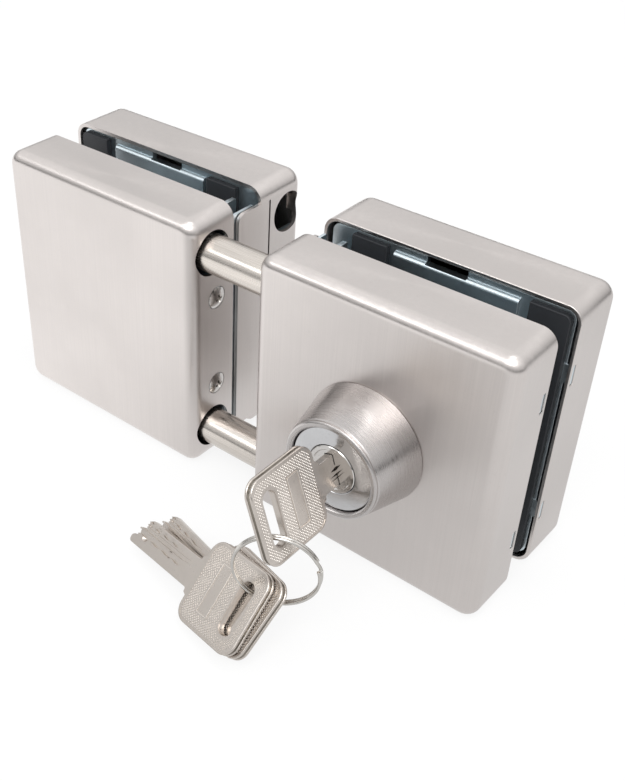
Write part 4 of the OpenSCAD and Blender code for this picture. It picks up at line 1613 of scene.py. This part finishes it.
    def blade_outline(self) -> list[tuple[float, float]]:
        """Works out the outline of the blade, with its stepped shoulder and stepped tip.

        Returns:
            Its points along and across the key.
        """
        inside, plain, soft, tip_round, step_round = 5, 6, 0.6, 1.6, 0.35
        at, bow_step, blade_step = self.shoulder
        half, tip = self.blade / 2, self.bow_end + self.blade_length
        start = self.bow_end + at
        low = fillet([(self.bow_end - inside, -half), (self.bow_end - 1, -half - bow_step),
                      (start, -half - blade_step), (start, -half), (start + plain, -half)],
                     soft, 3, closed=False)
        high = fillet([(start + plain, half), (start, half), (start, half + blade_step),
                       (self.bow_end - 1, half + bow_step), (self.bow_end - inside, half)],
                      soft, 3, closed=False)
        steps = [(tip + x, y) for x, y in reversed(self.tip_steps)]
        end = fillet([(start + plain, -half), *steps[:-2]], step_round, 2, closed=False)[1:-1]
        end += steps[-3:-2]
        round_end = fillet([*steps[-3:], (start + plain, half)], tip_round, 5, closed=False)[1:-1]
        return low + end + round_end + high

    def milling(self, place: Matrix, side: int) -> list[bpy.types.Object]:
        """Returns the tools for the cuts in one face of the blade.

        Args:
            place: Matrix from the key's own space in millimetres to the frame.
            side: 1 or -1 for the face. The cuts are turned round on the other face.

        Returns:
            Tool objects for the tracks, the wavy groove and the dimples.
        """
        end = self.bow_end + self.blade_length + 2
        top = side * self.thickness / 2
        point, steps, above = 3.5, 36, 0.1
        low_turn, high_turn = self.wave_turn
        bottom, mouth = self.dimple_cone
        tools = []
        for start, low, high, depth, wave in self.tracks:
            begin = self.bow_end + start
            along = [begin + point + (end - begin - point) * i / steps for i in range(steps + 1)]
            outline = [(begin, (low + high) / 2)]
            outline += [(x, low + wave * math.sin(i * low_turn)) for i, x in enumerate(along)]
            outline += [(along[i], high + wave * math.sin(i * high_turn + 1.0)) for i in range(steps, -1, -1)]
            tools.append(self.shop.part(place, prism, [(x, side * y) for x, y in outline],
                                        *sorted((top - side * depth, top + side))))
        for along, across, radius, depth in self.dimples:
            x, y = self.bow_end + along, side * across
            tools.append(self.shop.part(place, rod, (x, y, top - side * depth), (x, y, top + side * above),
                                        radius * bottom, self.dimple_sides, radius * mouth))
        return tools

    def key(self, place: Matrix) -> bpy.types.Object:
        """Makes one key.

        Args:
            place: Matrix from the key's own space in millimetres to the frame.

        Returns:
            The key.
        """
        part, combine = self.shop.part, self.shop.combine
        half, band, overlap = self.thickness / 2, self.band[0] / 2, 0.2
        obj = part(place, prism, self.outline(self.band[1]), -band - overlap, band + overlap)
        for low, high in ((-half, -band), (band, half)):
            combine(obj, part(place, soft_prism, self.outline(0.0), low, high, self.edge_round, 4), "UNION")
        inner = half - self.blade_inset
        combine(obj, part(place, soft_prism, self.blade_outline(), -inner, inner, self.blade_round, 2), "UNION")
        for side in (-1, 1):
            field = part(place, prism, self.outline(self.rim_band),
                         *sorted((side * (half - self.rim_step), side * (half + 1))))
            combine(field, part(place, box, (self.bow_end - self.blade_root, -self.bow[1], -2),
                                (self.bow_end + 2, self.bow[1], 2)))
            combine(obj, field)
            for tool in self.milling(place, side):
                combine(obj, tool)
            for grow, depth in self.slot_bevel:
                combine(obj, part(place, prism, self.slot_outline(grow),
                                  *sorted((side * (half - depth), side * (half + 1)))))
        combine(obj, part(place, prism, self.slot_outline(0.0), -half - 1, half + 1))
        self.shop.soften(obj, 0.0)
        return obj

    def edge_band(self, place: Matrix) -> bpy.types.Object:
        """Makes the knurled band that runs round a bow between its two rims.

        Args:
            place: Matrix from the key's own space to the frame.

        Returns:
            The band.
        """
        part, combine = self.shop.part, self.shop.combine
        width, _ = self.band
        beside, overlap = 0.6, 0.05
        gap = self.blade / 2 + beside
        ring = part(place, prism, self.knurled(), -width / 2 - overlap, width / 2 + overlap)
        combine(ring, part(place, prism, self.outline(width), -self.thickness, self.thickness))
        combine(ring, part(place, box, (self.bow_end - self.blade_root, -gap, -2),
                           (self.bow_end + 2, gap, 2)))
        self.shop.soften(ring, 0.0)
        return ring

    def raised(self, place: Matrix) -> bpy.types.Object:
        """Makes the dots and the panel's frame of one key as one object.

        Args:
            place: Matrix from the key's own space to the frame.

        Returns:
            The dots and the frame.
        """
        bm = bmesh.new()
        self.dots(bm)
        self.frame_bars(bm)
        obj = self.shop.solid(bm, place)
        self.shop.soften(obj, 0.0)
        return obj

    def ring_piece(self, place: Matrix) -> bpy.types.Object:
        """Makes the split ring: two turns of wire with a crossing and two cut ends.

        Args:
            place: Matrix from the ring's own space, with its axis along Z, to the frame.

        Returns:
            The ring.
        """
        outer, wire = self.ring
        radius, lift = (outer - wire) / 2, self.ring_lift * wire
        bm = bmesh.new()
        made = bmesh.ops.create_circle(bm, cap_ends=True, segments=self.wire_sides,
                                       radius=wire / 2)["verts"]
        bmesh.ops.rotate(bm, verts=made, cent=(0, 0, 0), matrix=Matrix.Rotation(math.pi / 2, 3, "X"))
        bmesh.ops.translate(bm, verts=made, vec=(radius, 0, -lift))
        section = list(bm.faces)
        flat_steps, cross_steps = self.ring_steps
        turn = math.radians(self.ring_turn)
        cross = 2 * math.pi - turn
        for angle, steps, rise in ((turn, flat_steps, 0.0), (cross, cross_steps, 2 * lift / cross_steps),
                                   (turn, flat_steps, 0.0)):
            grown = bmesh.ops.spin(bm, geom=section, cent=(0, 0, 0), axis=(0, 0, 1), dvec=(0, 0, rise),
                                   angle=angle, steps=steps)
            section = [g for g in grown["geom_last"] if isinstance(g, bmesh.types.BMFace)]
        bmesh.ops.remove_doubles(bm, verts=bm.verts, dist=MERGE)
        start = math.radians(self.ring_cut) - 2 * turn - cross
        bmesh.ops.rotate(bm, verts=bm.verts, cent=(0, 0, 0), matrix=Matrix.Rotation(start, 3, "Z"))
        pinch, reach = self.ring_pinch
        for vert in bm.verts:
            before = math.radians(self.ring_cut + 1) - math.atan2(vert.co.y, vert.co.x)
            if vert.co.z > 0 and 0 <= before < reach:
                vert.co.xy *= 1 - pinch * (1 - before / reach) ** 2
        bmesh.ops.recalc_face_normals(bm, faces=bm.faces)
        obj = self.shop.solid(bm, place)
        end_round, sharper_than = 0.12, 50.0
        self.shop.soften(obj, end_round, 2, sharper_than)
        return obj

    def places(self) -> tuple[Matrix, Matrix, list[Matrix]]:
        """Works out where the key, the ring and the spare keys are.

        Returns:
            The matrix of the key, of the ring, and of each spare key.
        """
        scale = Matrix.Scale(MM, 4)
        collar_low, collar_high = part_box("lock_collar")
        axis = Vector(((collar_low.x + collar_high.x) / 2, 0.0, (collar_low.z + collar_high.z) / 2)) / MM
        face = -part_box("cylinder_body")[0].y / MM
        slot_at = face + self.neck + self.bow_end
        upright = Matrix.Translation(axis) @ Matrix.Rotation(math.pi / 2, 4, "X")
        turn = math.radians(self.key_turn)
        key = (upright @ Matrix.Rotation(turn, 4, "Z") @ Matrix.Translation((0, 0, slot_at))
               @ Matrix.Rotation(math.pi / 2, 4, "Y"))
        down = Vector((math.sin(turn), 0.0, -math.cos(turn)))
        radius = (self.ring[0] - self.ring[1]) / 2
        lean, drop = self.ring_rest
        middle = (Vector((axis.x, lean - slot_at, axis.z)) + (self.slot_end + drop) * down
                  - Vector((0, 0, radius)))
        yaw = math.radians(self.ring_yaw)
        way = Vector((math.cos(yaw), math.sin(yaw), 0.0))
        ring = Matrix.Translation(middle) @ Matrix.Rotation(yaw, 4, "Z") @ Matrix.Rotation(math.pi / 2, 4, "X")
        spares = []
        for at, blade, width, slip in zip(self.spare_at, self.spare_blades, self.spare_widths,
                                          self.spare_slips):
            angle = math.radians(at)
            point = middle + radius * (math.cos(angle) * way + math.sin(angle) * Vector((0, 0, 1)))
            blade = Vector(blade).normalized()
            width = Vector(width)
            width = (width - width.dot(blade) * blade).normalized()
            turned = Matrix((blade, width, blade.cross(width))).transposed().to_4x4()
            rest = Vector(slip) + Vector((0.0, self.slot_end, 0.0))
            spares.append(Matrix.Translation(point) @ turned @ Matrix.Translation(rest))
        return scale @ key, scale @ ring, [scale @ m for m in spares]

    def build(self) -> None:
        """Makes the keys and the ring."""
        key, ring, spares = self.places()
        for node, body, place in (("key", "key", key), ("spare_key_upper", "upper_spare", spares[0]),
                                  ("spare_key_lower", "lower_spare", spares[1])):
            self.shop.present(self.key(place), node + "_milled", body, "key_steel", [node])
            # The dots and the panel's frame take a lightened copy of the key's nickel silver, a painted
            # highlight.
            for label, make, finish in (("_dots", self.raised, "painted_highlight_nickel"),
                                        # The knurled band takes a darkened copy of the key's nickel silver,
                                        # painted shade in its groove.
                                        ("_knurl", self.edge_band, "painted_shade_nickel")):
                self.shop.present(make(place), node + label, body, "key_steel", [], self.shop.finishes[finish])
        self.shop.present(self.ring_piece(ring), "key_ring_wound", "ring", "bright_steel", ["key_ring"],
                          self.shop.finishes["ring_wire"])


@dataclass(frozen=True)
class Lamp:
    """A soft rectangular lamp.

    Args:
        name: Name of the lamp.
        place: Position in metres.
        aim: Point that it faces, in metres.
        size: Width and height in metres.
        power: Power in watts.
    """

    name: str
    place: tuple[float, float, float]
    aim: tuple[float, float, float]
    size: tuple[float, float]
    power: float

    def add(self) -> bpy.types.Object:
        """Adds the lamp to the scene.

        Returns:
            The lamp.
        """
        data = bpy.data.lights.new(self.name, "AREA")
        data.shape = "RECTANGLE"
        data.size, data.size_y = self.size
        data.energy = self.power
        lamp = bpy.data.objects.new(self.name, data)
        lamp.location = self.place
        way = Vector(self.aim) - Vector(self.place)
        lamp.rotation_euler = way.to_track_quat("-Z", "Y").to_euler()
        bpy.context.scene.collection.objects.link(lamp)
        return lamp


@dataclass
class Studio:
    """Floor, lamps and camera.

    Args:
        eye: Camera position in millimetres.
        azimuth: Direction of the camera around Z, in degrees.
        elevation: Height angle of the camera, in degrees.
        roll: Turn of the picture, in degrees.
        focal_px: Focal length in pixels of the photograph.
        centre_px: Offset of the optical centre from the picture's middle, in pixels.
        photo_size: Width and height of the photograph in pixels.
        floor_size: Half the floor's side in metres.
        floor_shade: Brightness of the floor.
        floor_glow: How much of the floor is seen as plain white by the camera, and by mirrored rays.
        mirror_levels: Places along X in metres, each with the brightness mirrored from there.
        surrounding: Strength of the surrounding.
        horizon: Height, width and depth of the dark band around the horizon.
        sky_lift: How much brighter the surrounding is above.
        sky_rise: Heights between which it brightens.
        lamps: The lamps.
    """

    eye: tuple[float, float, float] = (171.0, -238.1, 241.9)
    azimuth: float = 42.23
    elevation: float = 36.61
    roll: float = -0.57
    focal_px: float = 1119.9
    centre_px: tuple[float, float] = (-114.36, 10.6)
    photo_size: tuple[int, int] = (625, 781)
    floor_size: float = 3.0
    floor_shade: float = 0.82
    floor_glow: tuple[float, float] = (0.85, 0.9)
    mirror_levels: tuple[tuple[float, float], ...] = ((-0.11, 1.33), (0.03, 0.82), (0.2, 0.95))
    surrounding: float = 0.75
    horizon: tuple[float, float, float] = (0.03, 0.1, 0.85)
    sky_lift: float = 0.45
    sky_rise: tuple[float, float] = (0.25, 0.65)
    lamps: tuple[Lamp, ...] = (
        Lamp("key_light", place=(0.4, -0.9, 1.3), aim=(0.0, 0.0, 0.04), size=(1.2, 0.9), power=12.0),
        Lamp("edge_light", place=(-0.75, -1.0, 0.95), aim=(0.0, 0.0, 0.04), size=(0.5, 0.25), power=1.2),
        Lamp("top_light", place=(0.19, -0.02, 1.2), aim=(0.04, -0.03, 0.04), size=(0.3, 0.3), power=1.3))

    def camera(self) -> bpy.types.Object:
        """Makes the camera at the photograph's viewing angle.

        Returns:
            The camera.
        """
        az, el, ro = (math.radians(v) for v in (self.azimuth, self.elevation, self.roll))
        back = Vector((math.sin(az) * math.cos(el), -math.cos(az) * math.cos(el), math.sin(el)))
        right = (-back).cross(Vector((0, 0, 1))).normalized()
        up = right.cross(-back).normalized()
        r = right * math.cos(ro) + up * math.sin(ro)
        u = -right * math.sin(ro) + up * math.cos(ro)
        data = bpy.data.cameras.new("camera")
        big = max(self.photo_size)
        data.sensor_width = 36.0
        data.lens = self.focal_px / big * data.sensor_width
        data.shift_x = -self.centre_px[0] / big
        data.shift_y = self.centre_px[1] / big
        data.clip_start = 0.01
        data.dof.use_dof = False
        camera = bpy.data.objects.new("camera", data)
        camera.matrix_world = Matrix.Translation(mm(*self.eye)) @ Matrix((r, u, back)).transposed().to_4x4()
        bpy.context.scene.collection.objects.link(camera)
        bpy.context.scene.camera = camera
        return camera

    def floor(self, low: float) -> bpy.types.Object:
        """Makes the pale floor.

        Args:
            low: Height of the floor in metres.

        Returns:
            The floor object.
        """
        bm = bmesh.new()
        bmesh.ops.create_grid(bm, x_segments=1, y_segments=1, size=self.floor_size)
        bmesh.ops.translate(bm, verts=bm.verts, vec=(0.0, 0.0, low))
        mesh = bpy.data.meshes.new("floor")
        bm.to_mesh(mesh)
        bm.free()
        floor = bpy.data.objects.new("floor", mesh)
        bpy.context.scene.collection.objects.link(floor)
        material = bpy.data.materials.new("pale_floor")
        material.use_nodes = True
        n = Nodes(material.node_tree)
        bsdf = n.add("ShaderNodeBsdfDiffuse")
        bsdf.inputs["Color"].default_value = (*[self.floor_shade] * 3, 1.0)
        glow = n.add("ShaderNodeEmission", Strength=1.0)
        path = n.add("ShaderNodeLightPath")
        mix = n.add("ShaderNodeMixShader")
        to_camera, to_mirror = self.floor_glow
        shown = n.math("MULTIPLY", path.outputs["Is Camera Ray"], to_camera)
        place = n.add("ShaderNodeSeparateXYZ", Vector=n.add("ShaderNodeTexCoord").outputs["Object"])
        (left, bright), (middle, dim), (right, again) = self.mirror_levels
        level = n.math("ADD", n.ramp(place.outputs[0], left, middle, bright, dim),
                       n.ramp(place.outputs[0], middle, right, 0.0, again - dim))
        mirrored = path.outputs["Is Glossy Ray"]
        n.put(glow, "Strength", n.math("MULTIPLY_ADD", mirrored, n.math("SUBTRACT", level, 1.0), 1.0))
        n.put(mix, "0", n.math("MULTIPLY_ADD", mirrored, to_mirror, shown))
        n.put(mix, "1", bsdf.outputs[0])
        n.put(mix, "2", glow.outputs[0])
        n.put(n.add("ShaderNodeOutputMaterial"), "Surface", mix.outputs[0])
        mesh.materials.append(material)
        floor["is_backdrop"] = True
        return floor

    def world(self) -> None:
        """Sets an even white surrounding that the camera sees as plain white."""
        world = bpy.data.worlds.new("surrounding")
        world.use_nodes = True
        bpy.context.scene.world = world
        n = Nodes(world.node_tree)
        seen = n.add("ShaderNodeLightPath").outputs["Is Camera Ray"]
        strength = n.ramp(seen, 0.0, 1.0, self.surrounding, 1.0)
        way = n.add("ShaderNodeTexCoord").outputs["Generated"]
        height = n.add("ShaderNodeSeparateXYZ", Vector=way).outputs[2]
        at, width, depth = self.horizon
        inner, outer = width * 0.5, width * 1.5
        near = n.ramp(n.math("ABSOLUTE", n.math("SUBTRACT", height, at)), inner, outer)
        unseen = n.math("SUBTRACT", 1.0, seen)
        dark = n.math("MULTIPLY", n.math("MULTIPLY", n.math("SUBTRACT", 1.0, near), unseen), depth)
        above = n.math("MULTIPLY", n.ramp(height, *self.sky_rise), unseen)
        lifted = n.math("MULTIPLY", strength, n.math("MULTIPLY_ADD", above, self.sky_lift, 1.0))
        back = n.add("ShaderNodeBackground")
        back.inputs["Color"].default_value = (1.0, 1.0, 1.0, 1.0)
        n.put(back, "Strength", n.math("MULTIPLY", lifted, n.math("SUBTRACT", 1.0, dark)))
        n.put(n.add("ShaderNodeOutputWorld"), "Surface", back.outputs[0])

    def build(self) -> None:
        """Places everything."""
        low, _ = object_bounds()
        self.camera()
        clearance = 0.0002
        self.floor(min(0.0, low[2]) - clearance)
        self.world()
        for lamp in self.lamps:
            lamp.add()
        bpy.context.scene.view_settings.view_transform = "Standard"


ALONG_Y = (90.0, 0.0, 0.0)
ALONG_X = (0.0, 90.0, 0.0)
CYLINDER_MIDDLE = (41.0, 0.0, 45.0)
FINISHES = {
    "brushed_steel": BrushedSheet("brushed_stainless", (0.645, 0.605, 0.585), 0.31, anisotropic=0.65,
                                  contrast=0.04, blotches=0.06),
    "zinc_casting": PlainMetal("cast_zinc", (0.68, 0.765, 0.81), 0.36),
    "rubber": PlainMetal("black_rubber", (0.022, 0.024, 0.028), 0.6, metallic=0.0),
    "bright_steel": PlainMetal("polished_steel", (0.66, 0.64, 0.62), 0.14, contrast=0.05),
    "plated_screws": PlainMetal("plated_screw", (0.5, 0.51, 0.52), 0.3),
    "brass_pins": PlainMetal("turned_brass", (0.55, 0.38, 0.14), 0.28),
    "key_steel": PlainMetal("nickel_silver", (0.63, 0.58, 0.535), 0.3, contrast=0.08),
    # Nickel silver lightened to paint a highlight on the key's raised dots and frame bars.
    "painted_highlight_nickel": PlainMetal("painted_highlight_nickel", (0.78, 0.73, 0.68), 0.24, contrast=0.1),
    # Nickel silver darkened to paint the shade in the recessed knurled band round the bow.
    "painted_shade_nickel": PlainMetal("painted_shade_nickel", (0.30, 0.27, 0.23), 0.34, contrast=0.5, specks=700.0),
    "turned_steel": TurnedMetal("turned_stainless", (0.51, 0.485, 0.475), 0.26, anisotropic=0.55,
                                middle=CYLINDER_MIDDLE, turn=ALONG_Y, lines=0.025),
    "cylinder_face": PlainMetal("polished_face", (0.62, 0.62, 0.63), 0.12, contrast=0.05),
    "bolt_nickel": BrushedSheet("drawn_nickel", (0.64, 0.595, 0.55), 0.24, turn=ALONG_X, across=1500.0,
                                along=40.0, contrast=0.14, blotches=0.08, depth=0.00003),
    "screw_steel": PlainMetal("bright_screw", (0.62, 0.60, 0.58), 0.2, contrast=0.08),
    "ring_wire": PlainMetal("ring_wire", (0.60, 0.58, 0.55), 0.18, contrast=0.08),
}


def main() -> None:
    """Builds the scene."""
    logging.basicConfig(level=logging.INFO, format="%(name)s: %(message)s")
    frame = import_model()
    effects = Effects()
    shop = Workshop(frame, {name: finish.build(effects) for name, finish in FINISHES.items()})
    for kind in (CoverSet, ClampGear, CylinderSet, BoltDrive, StrikeFittings, KeyBunch):
        kind(shop).build()
    for entry in frame["record"]["subparts"]:
        if entry["node"] not in shop.covered:
            for slot in frame["nodes"][entry["node"]].material_slots:
                slot.material = shop.finishes[entry["material_slot"]]
    Studio().build()


if __name__ == "__main__":
    main()
